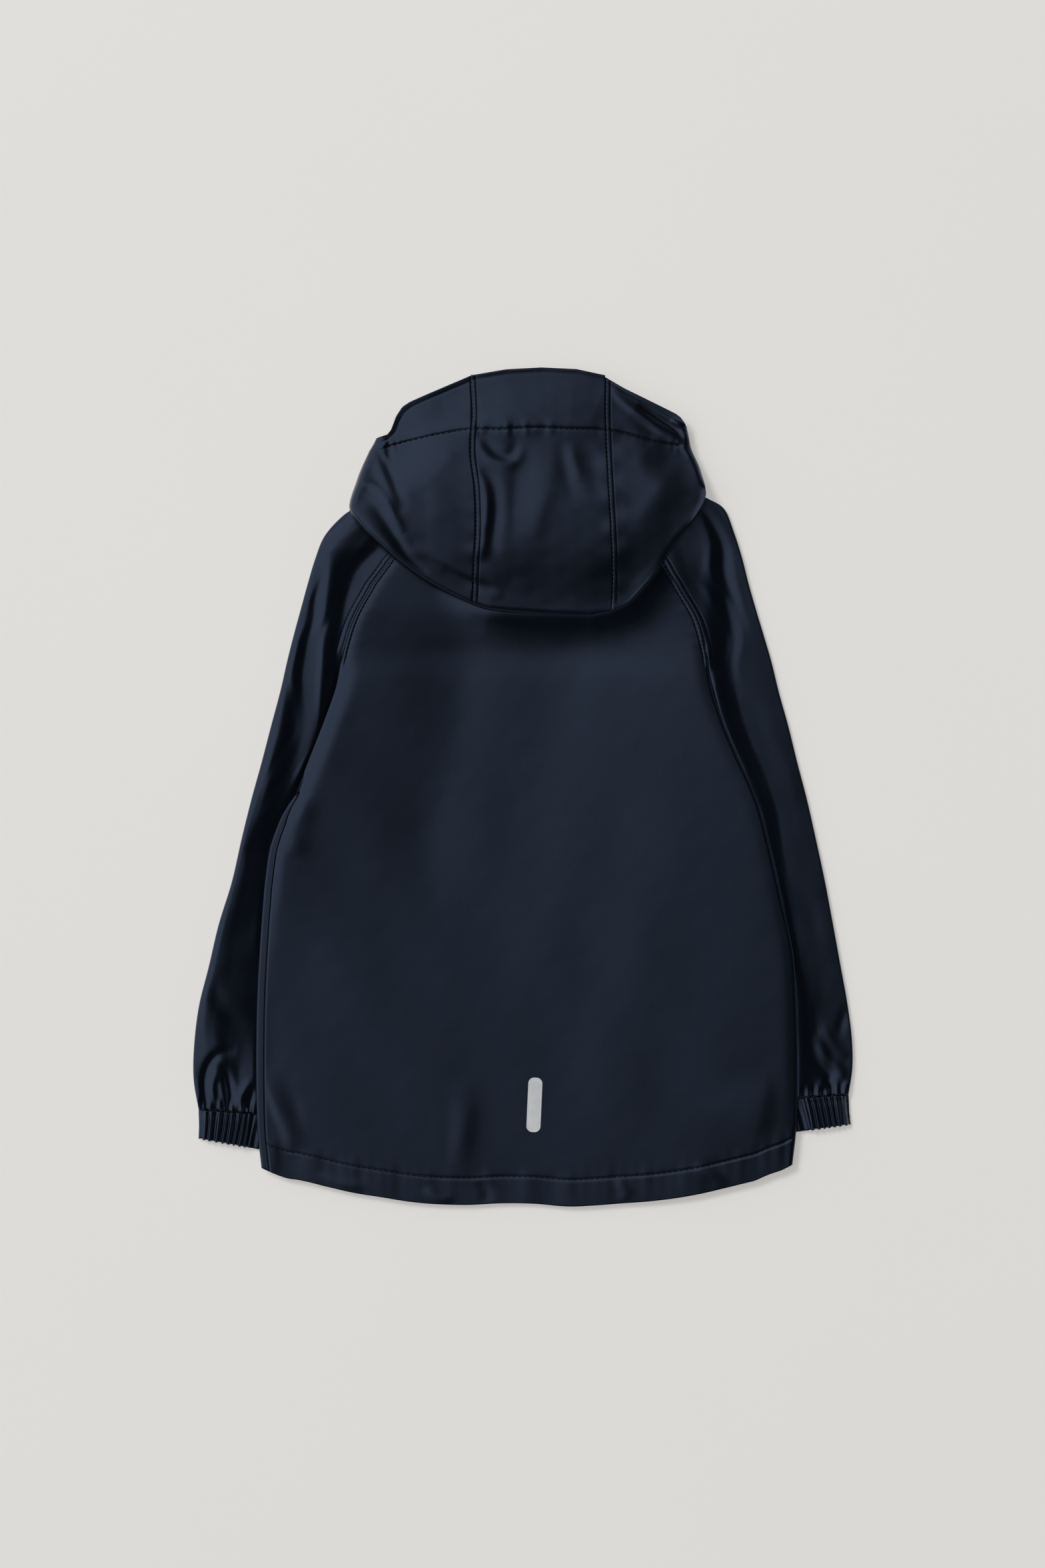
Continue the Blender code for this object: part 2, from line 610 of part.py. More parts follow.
def hood_point(x, y, layer, on_back):
    """Point of the hood's outer face: layer 1 on top, layer -1 beneath."""
    edge_gap = distance_to_line(x, y, FOLD_LINE)
    turn = min(edge_gap / HOOD_EDGE_RADIUS, 1.0)
    roundness = math.sqrt(1.0 - (1.0 - turn) ** 2)
    rest = hood_rest(x, on_back)
    edge_height = rest + 0.45 * HOOD_EDGE_DEPTH
    if layer < 0:
        return x, y, edge_height + (rest - edge_height) * roundness
    sloping_rest = hood_rest(x, smooth_step((275.0 - y) / 60.0))
    top_rest = rest + (sloping_rest - rest) * smooth_step(edge_gap / 35.0)
    inward = smooth_step((edge_gap - HOOD_EDGE_RADIUS) / HOOD_CROWN_REACH)
    depth = HOOD_EDGE_DEPTH + (HOOD_DEPTH - HOOD_EDGE_DEPTH) * inward
    rim_share = smooth_step(distance_to_line(x, y, RIM_LINE) / RIM_REACH)
    top = top_rest + depth + fold_height(x, y, HOOD_FOLDS) * smooth_step(edge_gap / 14.0)
    top = RIM_HEIGHT + (top - RIM_HEIGHT) * (0.15 + 0.85 * rim_share)
    return x, y, edge_height + (top - edge_height) * roundness


def hood_side_sections(rows, seam_x, side):
    """Sections of a side panel of the hood, from the seam on top round the edge to its under end."""
    count = 23
    sections = []
    for number in range(count):
        position = number / (count - 1) * (len(rows) - 1)
        row = smooth_row(rows, position)
        row = row._replace(
            under_x=float(np.interp(position, range(len(rows)), [entry.under_x for entry in rows])),
            under_y=float(np.interp(position, range(len(rows)), [entry.under_y for entry in rows])),
        )
        on_back = smooth_step(position - NECK_SIDE_ROW)
        inset = side * 0.5 * HOOD_SEAM_GAP
        seam = np.array([seam_x + inset, row.seam_y])
        edge = np.array([row.edge_x + (inset if number == count - 1 else 0.0), row.edge_y])
        under = np.array([row.under_x, row.under_y])
        if row.under_x * side < seam_x * side + abs(inset) and position > NECK_SIDE_ROW:
            under[0] = seam_x + inset
        section = []
        for target, layer in ((seam, 1), (under, -1)):
            reach = float(np.linalg.norm(target - edge))
            near = [min(HOOD_EDGE_RADIUS, 0.45 * reach) * part for part in (0.13, 0.5, 1.0)]
            far = [near[-1] + (reach - near[-1]) * part for part in (0.16, 0.33, 0.5, 0.67, 0.84, 1.0)]
            run = (target - edge) / reach
            across = np.array([-run[1], run[0]]) * (-side if layer > 0 else 0.0)
            line = []
            for value in near + far:
                share = value / reach
                line.append(edge + run * value + across * row.bulge * 4.0 * share * (1.0 - share))
            points = [hood_point(point[0], point[1], layer, on_back) for point in line]
            if layer > 0:
                section = points[::-1] + [hood_point(edge[0], edge[1], 1, on_back)]
            else:
                section += points
        sections.append(section)
    return sections


def make_hood_side(name, rows, seam_x, side, material, collection):
    """Side panel of the hood."""
    sections = hood_side_sections(rows, seam_x, side)
    if side > 0:
        sections.reverse()
    return grid_object(name, sections, HOOD_WALL, material, collection, even=False)


def bag_y(x):
    """Folded end of the bag on the middle panel."""
    xs = [LEFT_HOOD[-1].edge_x] + [point.x for point in HOOD_BAG] + [RIGHT_HOOD[-1].edge_x]
    ys = [LEFT_HOOD[-1].edge_y] + [point.y for point in HOOD_BAG] + [RIGHT_HOOD[-1].edge_y]
    return float(np.interp(x, xs, ys))


def make_hood_center(material, collection):
    """Middle strip of the hood, from the rim over the top, round the bag and back to the neck."""
    inset = 0.5 * HOOD_SEAM_GAP
    xs = np.linspace(HOOD_LEFT_SEAM_X + inset, HOOD_RIGHT_SEAM_X - inset, 10)
    sections = []
    for share in np.linspace(0.0, 1.0, 18):
        section = []
        for x in xs:
            rim, turn = hood_rim_y(x), bag_y(x) + HOOD_EDGE_RADIUS
            y = rim + (turn - rim) * share
            section.append(hood_point(x, y, 1, smooth_step((275.0 - y) / 60.0)))
        sections.append(section)
    for layer, gap in ((1, 0.5), (1, 0.13), (1, 0.0), (-1, 0.13), (-1, 0.5)):
        sections.append([hood_point(x, bag_y(x) + HOOD_EDGE_RADIUS * gap, layer, 1.0) for x in xs])
    for share in np.linspace(0.0, 1.0, 6):
        section = []
        for x in xs:
            turn = bag_y(x) + HOOD_EDGE_RADIUS
            section.append(hood_point(x, turn + (HOOD_NECK_Y - turn) * share, -1, 1.0))
        sections.append(section)
    sections.reverse()
    return grid_object("hood_center", sections, HOOD_WALL, material, collection, even=False)


# Small pieces


def rounded_strip(width, length, corner_steps=8):
    """Outline of a strip whose ends are half circles with a short flat between them."""
    radius = 0.42 * width
    half_width, half_length = 0.5 * width, 0.5 * length
    outline = []
    corners = ((1, 1, 0.0), (-1, 1, 90.0), (-1, -1, 180.0), (1, -1, 270.0))
    for sign_x, sign_y, start in corners:
        for step in range(corner_steps + 1):
            angle = math.radians(start + 90.0 * step / corner_steps)
            x = sign_x * (half_width - radius) + radius * math.cos(angle)
            y = sign_y * (half_length - radius) + radius * math.sin(angle)
            outline.append((x, y))
    return outline


def make_reflector(material, collection):
    """Reflective strip on the back panel, just clear of its outer face."""
    width, length, depth = REFLECTOR_SIZE
    curve = bpy.data.curves.new("reflector", "CURVE")
    curve.dimensions = "2D"
    curve.fill_mode = "BOTH"
    curve.extrude = 0.5 * depth * MM
    outline = rounded_strip(width, length)
    spline = curve.splines.new("POLY")
    spline.points.add(len(outline) - 1)
    spline.use_cyclic_u = True
    for point, (x, y) in zip(spline.points, outline):
        point.co = (x * MM, y * MM, 0.0, 1.0)
    strip = bpy.data.objects.new("reflector", curve)
    height = BACK_HEIGHT + SEAM_GAP + 0.5 * depth
    strip.location = (REFLECTOR_CENTER[0] * MM, REFLECTOR_CENTER[1] * MM, height * MM)
    strip.rotation_euler = (0.0, 0.0, math.radians(REFLECTOR_TILT))
    curve.materials.append(material)
    collection.objects.link(strip)
    return strip


def make_snaps(material, collection):
    """Snap caps of the closure, under the outer front and level with the floor."""
    for number in range(SNAP_COUNT):
        mesh_data = bmesh.new()
        bmesh.ops.create_cone(
            mesh_data,
            cap_ends=True,
            segments=24,
            radius1=(SNAP_RADIUS - 0.4) * MM,
            radius2=SNAP_RADIUS * MM,
            depth=SNAP_DEPTH * MM,
        )
        mesh = bpy.data.meshes.new(f"snap_{number + 1}")
        mesh_data.to_mesh(mesh)
        mesh_data.free()
        mesh.materials.append(material)
        snap = bpy.data.objects.new(mesh.name, mesh)
        snap.location = (CENTER_X * MM, (SNAP_TOP_Y - number * SNAP_SPACING) * MM, 0.5 * SNAP_DEPTH * MM)
        collection.objects.link(snap)


def make_material(name, color, roughness, metallic=0.0):
    """Plain surface with one colour."""
    material = bpy.data.materials.new(name)
    material.use_nodes = True
    shader = material.node_tree.nodes["Principled BSDF"]
    shader.inputs["Base Color"].default_value = (*color, 1.0)
    shader.inputs["Roughness"].default_value = roughness
    shader.inputs["Metallic"].default_value = metallic
    return material


def clear_scene():
    """Remove every object of the open file."""
    for existing in list(bpy.data.objects):
        bpy.data.objects.remove(existing, do_unlink=True)


def main():
    """Make the whole coat."""
    clear_scene()
    collection = bpy.data.collections.new("kids_raincoat")
    bpy.context.scene.collection.children.link(collection)
    navy = (0.012, 0.017, 0.03)
    make_back(make_material("back_cloth", navy, 0.42), collection)
    make_front_left(make_material("front_left_cloth", navy, 0.42), collection)
    make_front_right(make_material("front_right_cloth", navy, 0.42), collection)
    make_sleeve("sleeve_left", LEFT_SLEEVE, -1, make_material("sleeve_left_cloth", navy, 0.42), collection)
    make_sleeve("sleeve_right", RIGHT_SLEEVE, 1, make_material("sleeve_right_cloth", navy, 0.42), collection)
    make_cuff("cuff_left", LEFT_SLEEVE, LEFT_CUFF, -1, make_material("cuff_left_cloth", navy, 0.45), collection)
    make_cuff("cuff_right", RIGHT_SLEEVE, RIGHT_CUFF, 1, make_material("cuff_right_cloth", navy, 0.45), collection)
    make_hood_center(make_material("hood_center_cloth", navy, 0.42), collection)
    left_cloth = make_material("hood_left_cloth", navy, 0.42)
    make_hood_side("hood_side_left", LEFT_HOOD, HOOD_LEFT_SEAM_X, -1, left_cloth, collection)
    right_cloth = make_material("hood_right_cloth", navy, 0.42)
    make_hood_side("hood_side_right", RIGHT_HOOD, HOOD_RIGHT_SEAM_X, 1, right_cloth, collection)
    make_reflector(make_material("reflective_film", (0.62, 0.63, 0.64), 0.35), collection)
    make_snaps(make_material("snap_plastic", (0.02, 0.024, 0.034), 0.35), collection)


main()
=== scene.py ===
"""Looks of a kids raincoat that lies flat, face down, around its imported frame.

Lengths in the tables are millimetres in the frame's own axes: +Z up out of the coat's back, +Y towards
the hood, -X the wearer's left. They are turned into metres where a mesh is made.
"""

import math
from collections import namedtuple

import bpy
import numpy as np
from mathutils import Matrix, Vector
from mathutils.bvhtree import BVHTree


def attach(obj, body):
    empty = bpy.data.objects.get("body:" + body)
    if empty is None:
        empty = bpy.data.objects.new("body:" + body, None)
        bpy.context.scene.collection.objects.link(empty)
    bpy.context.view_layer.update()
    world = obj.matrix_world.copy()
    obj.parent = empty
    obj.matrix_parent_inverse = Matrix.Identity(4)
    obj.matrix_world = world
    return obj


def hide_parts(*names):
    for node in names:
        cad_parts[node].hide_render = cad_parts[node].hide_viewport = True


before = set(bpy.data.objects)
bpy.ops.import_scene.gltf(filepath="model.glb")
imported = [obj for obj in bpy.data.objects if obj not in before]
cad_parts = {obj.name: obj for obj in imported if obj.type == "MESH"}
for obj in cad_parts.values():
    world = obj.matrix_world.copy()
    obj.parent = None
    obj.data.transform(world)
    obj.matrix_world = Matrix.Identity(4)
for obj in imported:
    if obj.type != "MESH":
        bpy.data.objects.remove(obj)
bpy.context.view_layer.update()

MM = 0.001
CLOTH = 0.7             # thickness of the shown cloth
SEAM_GAP = 0.3          # between sewn pieces
SIDE_NAME = {-1: "left", 1: "right"}

# Forms shared with the solids
SIDE_LIFT = 4.4
OVERLAP_LIFT = 1.1
EDGE_RADIUS = 1.8
SLEEVE_RAMP = 27.0
CENTER_X = 3.0
NECK_HALF_WIDTH = 89.5
NECK_Y = 209.0
BACK_NECK_DROP = 12.0
FRONT_NECK_Y = 186.0
FRONT_OVERLAP = 15.0
UNDERARM_Y = -5.0
FLAP_WIDTH = 6.5
SLEEVE_TUCK_TOP = 103.0
SLEEVE_TUCK_FULL = 84.0
HEM_CORNER_Y = -312.0
HEM_STITCH = 22.0       # stitch line above the hem
RAGLAN_BAND = (3.6, 2.8)     # width of the raised band beside the left and the right raglan seam
RAGLAN_GROOVE = (0.85, 0.5)  # depth of the grooves at its sides
TUCKED = 1.6            # how far a seam's lower panel reaches under the upper one
NECK_FROM_Y = 120.0     # the rows of the body panels bend towards the neck above this,
HEM_FROM_Y = -120.0     # towards the hem below this
FINE_FROM_Y = -270.0    # and lie close together below this
EDGE_STEPS = np.array([0.0, 0.35, 0.7, 1.1, 1.6, 2.1, 2.7, 3.3, 3.9, 4.5, 5.1, 5.7, 6.3, 6.9, 7.6, 8.6,
                       10.0, 12.0])          # places close to a seam, measured from it

HOOD_EDGE_RADIUS = 5.0
HOOD_EDGE_DEPTH = 14.6
HOOD_DEPTH = 16.6
HOOD_CROWN_REACH = 40.0
HOOD_BAG_DROP = 5.4      # how much flatter the hood lies at its bag
RIM_HEIGHT = 10.5
RIM_REACH = 55.0
HOOD_REST_BACK = 9.4
HOOD_REST_SHOULDER = 10.2
HOOD_NECK_Y = 199.0
HOOD_CENTER_WIDTH = 111.0
NECK_SIDE_ROW = 4.0      # row of the hood tables at the side of the neck
EDGE_TURN = np.array([0.0, 0.03, 0.1, 0.2, 0.33, 0.48, 0.65, 0.82, 1.0])     # places on a rounded edge


def table(columns, *rows):
    """Rows of a table with named columns."""
    named = namedtuple("Row", columns)
    return [named(*row) for row in rows]


BODY = table(
    "y left right",
    (209, -86.5, 92.5), (200, -98.5, 103.5), (187, -110, 114.5), (168, -124, 126), (140, -139.2, 142),
    (114, -147.8, 150), (81, -155, 156), (51, -165.6, 165.8), (25, -176, 177), (-5, -187.8, 190.3),
    (-25, -199.8, 197.2), (-50, -208.8, 203.6), (-83, -213.4, 211.2), (-135, -217.2, 222.4),
    (-176, -219.3, 225.4), (-230, -220, 226.5), (-280, -219, 225.4), (-312, -215.5, 221.8),
)
HEM = table(
    "x y",
    (-216, -313), (-205, -317.9), (-194, -321.8), (-183, -323.6), (-161, -328.9), (-139, -333.9),
    (-117, -337.4), (-95, -341), (-73, -343.2), (-45, -343.9), (-18, -342.6), (8, -342.9), (37, -345.2),
    (59, -344.3), (81, -342.6), (103, -341), (125, -338.3), (147, -334.4), (169, -329.2), (191, -323.8),
    (202, -318.8), (213, -315), (222, -310.4),
)

LEFT_SLEEVE = table(
    "outer_x outer_y inner_x inner_y",
    (-134, 233, -87, 209), (-148.5, 224, -93, 203.5), (-163.5, 207.5, -100.5, 197),
    (-171.2, 189, -110.3, 187), (-177.4, 168.5, -124.3, 168), (-183, 148, -135, 149),
    (-189, 126, -144.4, 127), (-194.7, 103.4, -150.4, 104.5), (-200, 80, -154.7, 84), (-208, 50, -128, 52),
    (-215.8, 20, -124, 20), (-223.8, -9, -132, -10), (-232, -42, -142, -44), (-240.2, -78, -153, -81),
    (-251, -113, -164, -117), (-259, -147, -173, -152), (-267.2, -180, -181, -186),
    (-271.2, -212, -187, -218), (-271.7, -240, -190, -247), (-267.6, -265.4, -190, -271.5),
)
RIGHT_SLEEVE = table(
    "outer_x outer_y inner_x inner_y",
    (151, 239, 93, 209), (166, 229.5, 99, 203.5), (174.5, 209, 105.5, 197), (180.8, 189, 114.8, 187),
    (186, 168.5, 126.3, 168), (191.8, 148, 138, 149), (198.4, 126, 146.9, 127), (205, 103.4, 152.6, 104.5),
    (211.2, 78, 156.6, 83), (219, 50, 130, 52), (226.4, 20, 126, 20), (234, -9, 136, -10),
    (241.5, -42, 146, -42), (249, -77, 157, -77), (255.6, -112, 168, -112), (261.8, -146, 177, -147),
    (267.4, -177, 184, -179), (271.2, -206, 189, -209), (271.7, -231, 192, -235),
    (268.4, -253.4, 193, -258),
)
SLEEVE_OPEN_ROWS = 7

# Top of a sleeve: at each y, the places across it (from the body out) and their heights
LEFT_TOP = table(
    "y x0 z0 x1 z1 x2 z2 x3 z3 x4 z4 x5 z5 x6 z6 x7 z7",
    (225, -87, 5.8, -104, 5.6, -112, 5.6, -126, 7.6, -131, 8, -134, 7.8, -138, 7.3, -142, 6.2),
    (198, -100, 6.2, -117, 5.8, -135, 8.4, -155, 10.2, -158.5, 9.8, -161.5, 9.1, -165, 8.2, -168, 6.6),
    (186, -110, 6.4, -129.5, 5.9, -144, 8.2, -159, 10.4, -163, 9.9, -166.5, 9, -169.5, 8.3, -172.3, 6.8),
    (175, -119, 6.6, -138, 6.2, -149.5, 8.2, -160, 10.1, -166, 8.8, -169.5, 8.6, -172.5, 8.5, -176, 6.9),
    (155, -132, 6.8, -145, 6.3, -153.5, 8.1, -162, 9.8, -171, 8.2, -176, 8.8, -178.6, 8.5, -181.2, 7.2),
    (138, -139, 6.7, -147.5, 6.4, -160, 9.1, -164.5, 9.6, -172.5, 8.1, -179.5, 9, -183, 8.8, -186, 7.2),
    (120, -146, 6.7, -151, 6.4, -164.5, 9.4, -169.5, 8.3, -177, 7.9, -185.5, 9.5, -187.5, 9.1, -190.8, 7.2),
    (90, -153, 3.8, -155.5, 4.8, -166.5, 8.4, -171.5, 7.5, -181, 7.2, -191, 9.1, -194, 8.6, -197.8, 7),
    (45, -166, 3.6, -168.6, 4.8, -170.5, 5.5, -174, 5.7, -180, 5.6, -188, 6, -202, 8.9, -209.4, 6.6),
    (12, -181, 3.4, -183, 4.6, -185, 5.1, -188, 5.1, -193, 5.6, -208, 9, -211, 9.2, -218, 7),
    (-17, -193, 3.2, -195.5, 4, -197, 4.6, -204, 6.2, -212, 8.2, -217, 8.8, -221, 8.9, -226, 7.4),
    (-47, -206, 3.2, -208.8, 4, -210, 4.4, -216, 5.9, -222, 7.1, -228, 8.1, -230, 8.2, -233.4, 7),
    (-65, -209, 3.2, -210.6, 4, -211.6, 4.4, -218, 5.8, -224, 6.9, -231, 8, -234, 8.1, -237.4, 7),
    (-95, -213, 3.2, -215.2, 4, -216.4, 4.5, -222, 5.6, -230, 7, -238, 8.3, -241.5, 8.5, -245.6, 7.2),
    (-120, -216, 3.2, -217.6, 4, -219, 4.5, -226, 5.5, -236, 7, -244, 8.2, -248, 8.5, -252.6, 7.2),
    (-150, -217, 3.2, -219, 4, -220.5, 4.3, -230, 5.9, -240, 7.3, -250, 8.6, -254.5, 8.9, -259.8, 7.4),
    (-175, -218, 3.2, -220.2, 4, -221.5, 4.2, -230, 5.8, -241, 7.4, -252, 8.6, -261, 9.5, -266.1, 7.8),
    (-200, -218.5, 3.2, -220.6, 4, -222, 4.3, -232, 5.6, -243, 6.7, -255, 8.4, -261, 8.6, -269.8, 7.6),
    (-235, -219, 3.8, -221.5, 4.8, -223, 5, -233, 5, -241, 6, -250, 7.6, -256, 7.6, -271.7, 7),
    (-270, -219, 4.4, -221.5, 4.9, -229, 5.2, -235, 5.4, -242, 5.4, -250, 5.4, -259, 5.3, -267.1, 4.9),
)
RIGHT_TOP = table(
    "y x0 z0 x1 z1 x2 z2 x3 z3 x4 z4 x5 z5 x6 z6 x7 z7",
    (235, 93, 5.8, 108, 5.6, 124, 6.2, 130, 5.4, 142, 4.4, 146, 4.6, 150, 4.4, 156, 4.2),
    (203, 99, 6.6, 118, 6.4, 130, 6, 146, 5.6, 153, 5.6, 163, 3.4, 171, 3.9, 176.5, 3.8),
    (175, 120, 7.6, 127, 7.2, 138, 6, 147, 5.4, 154, 5.5, 166, 2.8, 176, 3.8, 184.6, 3.8),
    (155, 133, 7.2, 142, 6.3, 149, 5.9, 154, 5.7, 167, 2.8, 173, 2.7, 181, 3.4, 190, 3.4),
    (125, 146, 7.4, 150, 6.8, 154, 6.2, 168, 3.2, 173, 2.9, 182, 3.4, 190, 3.4, 198.8, 3.3),
    (99.5, 151, 5.2, 153.5, 6.6, 155, 6.4, 167, 3.5, 172, 3.1, 179, 3.4, 190, 3.4, 206.1, 3.2),
    (70, 156.5, 3.8, 158.6, 4.8, 160.2, 6.2, 173, 3.8, 178, 3.2, 186, 3.2, 200, 3.3, 213.4, 3.1),
    (44.5, 164.5, 3.8, 167, 4.8, 168.8, 6.1, 179, 4.3, 186, 3.4, 195, 3.4, 206, 3.5, 220.4, 3.2),
    (10, 179.5, 3.8, 182, 4.8, 184, 5.8, 194, 4.3, 200, 3.6, 208, 3.5, 218, 3.5, 229.1, 3.2),
    (-20, 191, 3.8, 194, 4.4, 195.8, 5.6, 204, 4.4, 210, 3.7, 216, 3.7, 224, 3.7, 236.6, 3.4),
    (-65, 203, 3.7, 205.4, 4.2, 207, 5.2, 213, 4.2, 217, 3.9, 224, 3.9, 232, 3.8, 246.7, 3.6),
    (-110, 212.5, 3.6, 215, 4.2, 216.8, 5, 222.5, 4.1, 230, 3.9, 240, 3.7, 248, 3.8, 255.4, 3.7),
    (-150, 219, 3.6, 221.6, 4.2, 223.4, 5.4, 229.5, 4.2, 236, 3.9, 245, 3.8, 254, 3.8, 262.6, 3.7),
    (-175, 221, 3.8, 223.2, 4.8, 225, 6.4, 234.5, 4.7, 240, 4.2, 248, 3.8, 258, 3.7, 267.2, 3.6),
    (-200, 222, 3.8, 224, 4.8, 225.8, 6.4, 237.5, 4.4, 243, 3.9, 252, 3.9, 260, 3.8, 270.6, 3.8),
    (-225, 222.5, 3.8, 224.6, 4.8, 226.2, 6.6, 238, 4.9, 246, 4.3, 254, 3.6, 259, 3.8, 271.7, 4.2),
    (-262, 222, 4.2, 224.4, 5.4, 226.2, 6.3, 238, 5.3, 246, 4.8, 254, 4.6, 260, 4.8, 268.4, 4.4),
)
LEFT_CUFF, RIGHT_CUFF = table(
    "outer_x outer_y inner_x inner_y", (-267, -289.4, -189, -303.5), (269.4, -277.8, 193, -288.5))

LEFT_HOOD = table(
    "seam_y edge_x edge_y under_x under_y bulge",
    (339, -121, 287, -2, 187.4, 13), (322, -123, 283, -24, 189.2, 9), (304, -125.3, 279, -46, 194, 5),
    (285, -127.5, 275, -64, 200.3, 2), (262, -136.5, 254, -90, 216.5, 0),
    (241, -142.4, 228.5, -89, 210.5, 0), (225, -131.5, 211.5, -68, 204, 0), (209, -121, 200.8, -41, 199, 0),
    (194, -107, 188.3, -41, 189, 0), (180.5, -89, 174.8, -41, 179, 0), (168.5, -67, 161.8, -41, 168, 0),
    (158.5, -41, 149.5, -41, 158.5, 0),
)
RIGHT_HOOD = table(
    "seam_y edge_x edge_y under_x under_y bulge",
    (338, 134.8, 296, 8, 187.4, 4.5), (321, 136, 291, 30, 189.2, 3), (303, 137.2, 285, 52, 194, 1.5),
    (284, 138.8, 278, 70, 200.3, 0.5), (262, 146.5, 260, 96, 216.5, 0), (241, 149.8, 240, 95, 210.8, 0),
    (225, 142, 224, 77, 203, 0), (209, 131, 209.5, 71, 199, 0), (194.5, 120.5, 195, 71, 189.5, 0),
    (181.5, 109.5, 179, 71, 180, 0), (170, 98, 165, 71, 170.5, 0), (161, 86, 152.5, 71, 161, 0),
    (154, 71, 145, 71, 154, 0),
)
HOOD_SEAMS = table(
    "y left right",
    (340, -43.4, 67.8), (308, -42, 67.6), (276, -43.2, 68.6), (244, -39.6, 70.2), (212, -38.8, 72),
    (180, -40.4, 73.4), (148, -41.4, 72.6),
)
HOOD_BAG = [(-28, 145.4), (-8, 143.6), (14, 142.6), (36, 142), (56, 142)]
BAG_LINE = [(-41.0, 149.5), *HOOD_BAG, (71.0, 145.0)]
HOOD_RIM = [(-41, 339), (-14, 343.6), (15, 345.2), (44, 343.8), (71, 338)]
# Places from a rim's end (0) to the seam (1) and the outward bow there
RIM_BOWS = {
    -1: ((0.0, 0.0), (0.05, -0.1), (0.10, -0.2), (0.15, -0.08), (0.25, 0.46), (0.34, 0.74), (0.42, 0.74),
         (0.6, 0.52), (1.0, 0.0)),
    1: ((0.0, 0.0), (0.05, 0.5), (0.11, 0.95), (0.17, 1.05), (0.3, 0.85), (0.75, 0.1), (1.0, 0.0)),
}
CASING = [
    (-112.2, 279.7), (-91.5, 285.1), (-65.4, 290.6), (-43.7, 293.8), (-17.6, 293.8), (8.5, 295.2),
    (39, 294.3), (62.9, 293.8), (82.5, 291.2), (110.8, 284), (130.3, 280.8),
]

# The back as it lies: flat in the middle, rising over the sleeves to a crest beside each edge
BACK = table(
    "y base left_x left_rise right_x right_rise left_edge right_edge",
    (209, 8.2, -40, 0, 40, 0, 5.6, 5.6), (178, 6.6, -60, 0.05, 40, -0.01, 7.2, 6),
    (148, 6.6, -50, 0.044, 44, 0, 7.8, 6.6), (128, 5.2, -46, 0.048, 44, 0.02, 7.9, 7),
    (110, 4, -47, 0.056, 40, 0.038, 7.4, 7.2), (88, 4.5, -50, 0.058, 36, 0.036, 7.8, 7.8),
    (50, 4.5, -56, 0.056, 32, 0.031, 8, 8), (0, 4.6, -66, 0.052, 30, 0.024, 8, 8),
    (-60, 4.8, -80, 0.046, 20, 0.02, 8, 8), (-130, 4.9, -60, 0.024, 6, 0.018, 8, 8),
    (-200, 5, -30, 0.014, 16, 0.019, 8, 8), (-260, 5, -30, 0.014, 16, 0.018, 8, 8),
    (-312, 5, -30, 0.014, 16, 0.014, 8, 8),
)

# Creases: a line of points, how far the slope reaches on its left and right, and the rise
HOOD_CREASES = table(
    "points left right rise",
    # left side
    (((-118, 279), (-110.5, 263), (-103.5, 242), (-98, 224)), 5, 3.6, -0.9),
    (((-122.5, 277), (-117, 260), (-108.5, 243), (-101, 228)), 3.6, 4, 0.7),
    (((-137, 243), (-128, 249), (-117.5, 242), (-109, 227), (-98, 208)), 3.6, 3, 1.1),
    (((-130, 245.5), (-121, 241), (-114.5, 232), (-109.5, 221)), 2.4, 2.4, -0.6),
    (((-136, 238), (-124, 234), (-113, 219), (-103, 203), (-94, 189), (-78, 174)), 3.8, 5, -1.3),
    (((-113.5, 282), (-110.5, 274), (-106, 268)), 1.8, 1.8, -0.6),
    (((-116.5, 281), (-114, 273), (-110, 266)), 1.8, 1.8, 0.6),
    (((-110, 282), (-105, 276), (-99, 272)), 1.8, 1.8, 0.4),
    (((-138, 230), (-120, 208), (-104, 191)), 5, 5, 0.5),
    (((-92, 196), (-66, 186), (-52.5, 178), (-39.5, 172.5), (-26, 169), (-12, 165)), 8, 4, 0.8),
    (((-66, 180), (-52, 172.5), (-38, 167), (-22, 163.5)), 3.6, 6, -0.55),
    (((-36, 160), (-26, 157), (-16, 158)), 4, 4, 0.4),
    (((-78, 262), (-70, 236), (-66, 206)), 14, 14, 0.5),
    # middle
    (((-35, 292), (-27, 278), (-16, 272), (-8, 276), (-6, 288)), 4.8, 4.2, -0.72),
    (((-38, 285), (-28, 271), (-15.5, 265.5), (-5, 268.5), (-1.5, 281)), 3.6, 4.8, 0.72),
    (((-40, 262), (-32, 250), (-29, 231), (-31, 205), (-34, 184)), 3.6, 4.8, 0.96),
    (((-33, 262), (-23.5, 244), (-22.5, 222), (-25.5, 202), (-24, 184)), 6, 6, -0.72),
    (((2, 290), (-4.5, 255), (-7, 222), (-7, 192)), 12, 7.2, -0.64),
    (((21, 284), (19, 244), (10.5, 217), (2, 192)), 8.4, 12, 0.56),
    (((31, 286), (36.5, 255), (43.5, 228)), 7.2, 6, -0.4),
    (((38.5, 284), (42, 267), (47, 250)), 4.8, 5.4, 0.48),
    (((50, 288), (57, 262), (60.5, 236)), 7.2, 7.2, -0.4),
    # right side
    (((140, 276), (118, 250), (100, 224), (82, 192)), 14, 8, 0.45),
    (((73, 329), (78.5, 320), (90, 310), (101, 302), (112, 294), (126, 286)), 5, 2.4, 1.1),
    (((88, 306), (106, 292), (122, 284)), 6, 6, -0.4),
    (((94, 313.5), (103, 309), (112, 303), (122, 297), (130, 291), (139, 280)), 3.2, 3.8, -1.7),
    (((122, 302), (130.5, 296.5), (135.5, 287)), 2, 2, 1.8),
    (((129, 282), (134.5, 277), (139.5, 270)), 2, 2.2, 1.1),
    # left end of the rim
    (((-100, 296), (-84, 307), (-66, 314)), 8, 8, 0.6),
)
